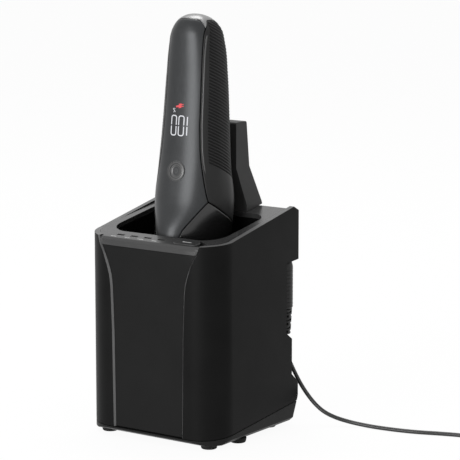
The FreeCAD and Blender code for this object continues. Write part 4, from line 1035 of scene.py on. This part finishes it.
def deck_mark(name, x, y, length, width, body="stand", lift=0.02):
    """A thin printed bar on the sloping deck."""
    work = bmesh.new()
    bmesh.ops.create_cube(work, size=1.0)
    bmesh.ops.scale(work, vec=(length * MM, width * MM, 0.04 * MM), verts=work.verts)
    corners = [e for e in work.edges
               if abs((e.verts[0].co - e.verts[1].co).z) > 0.03 * MM]
    bmesh.ops.bevel(work, geom=corners, offset=width * 0.45 * MM, segments=3, profile=0.5,
                    affect="EDGES", material=-1)
    tilt = Matrix.Rotation(math.atan(DECK_SLOPE), 4, "X")
    level = DECK_FRONT + DECK_SLOPE * (y - STAND_FRONT) + lift
    bmesh.ops.transform(work, matrix=Matrix.Translation(Vector((x, y, level)) * MM) @ tilt,
                        verts=work.verts)
    return mesh_piece(name, work, FINISH["print"], body, smooth=False)


for number in range(LAMPS):
    x = -26.0 + 9.5 * number
    deck_mark(f"lamp_mark_{number}", x - 0.3, -38.6, 3.4 if number % 2 else 4.2, 0.55)
deck_mark("select_mark", 22.5, -35.2, 6.0, 0.6, "select_button", SELECT_MARK_LIFT)

# ---------------------------------------------------------------- floor, light and finish

FLOOR_GLOW, FLOOR_WHITE = 0.92, 1.02     # share and strength of the white that is seen
WORLD_LIGHT = 0.55                       # strength of the world's light on the object

floor_mesh = bmesh.new()
bmesh.ops.create_grid(floor_mesh, x_segments=8, y_segments=8, size=6.0)
floor_data = bpy.data.meshes.new("studio_floor")
floor_mesh.to_mesh(floor_data)
floor_mesh.free()
floor = bpy.data.objects.new("studio_floor", floor_data)
bpy.context.scene.collection.objects.link(floor)
floor_finish = bpy.data.materials.new("pale_floor")
floor_finish.use_nodes = True
floor_tree = floor_finish.node_tree
floor_tree.nodes.remove(floor_tree.nodes["Principled BSDF"])
floor_wire = Wire(floor_tree, None)


def white_rays(wire):
    """1 where the camera, a reflection or a transparent piece looks."""
    path = wire.tree.nodes.new("ShaderNodeLightPath")
    seen = [Wire(wire.tree, path.outputs[key])
            for key in ("Is Camera Ray", "Is Glossy Ray", "Is Transmission Ray")]
    return (seen[0] + seen[1] + seen[2]).clamp()


plain = floor_wire.node("ShaderNodeBsdfDiffuse", None, {"Color": grey(0.80)})
glow = floor_wire.node("ShaderNodeEmission", None, {"Color": grey(1.0), "Strength": FLOOR_WHITE})
mixed = floor_wire.node("ShaderNodeMixShader", None,
                        {0: white_rays(floor_wire) * FLOOR_GLOW, 1: plain, 2: glow})
floor_tree.links.new(mixed.socket, floor_tree.nodes["Material Output"].inputs["Surface"])
floor_data.materials.append(floor_finish)

world = bpy.data.worlds.new("studio_world")
bpy.context.scene.world = world
world.use_nodes = True
sky = Wire(world.node_tree, None)
seen = white_rays(sky)
world.node_tree.nodes["Background"].inputs["Color"].default_value = grey(1.0)
strength = seen * (1.0 - WORLD_LIGHT) + WORLD_LIGHT
world.node_tree.links.new(strength.socket,
                          world.node_tree.nodes["Background"].inputs["Strength"])


def soft_lamp(name, place, aim, size_x, size_y, power):
    """A rectangular soft box aimed at a point of the object."""
    data = bpy.data.lights.new(name, "AREA")
    data.shape = "RECTANGLE"
    data.size, data.size_y = size_x, size_y
    data.energy = power
    lamp = bpy.data.objects.new(name, data)
    lamp.location = place
    way = Vector(aim) - Vector(place)
    lamp.rotation_euler = way.to_track_quat("-Z", "Y").to_euler()
    bpy.context.scene.collection.objects.link(lamp)


soft_lamp("front_soft_box", (-0.12, -1.38, 0.34), (0.0, 0.0, 0.17), 0.85, 0.75, 15.0)
soft_lamp("top_soft_box", (-0.3, 0.35, 1.3), (0.0, 0.0, 0.1), 0.9, 0.7, 7.0)
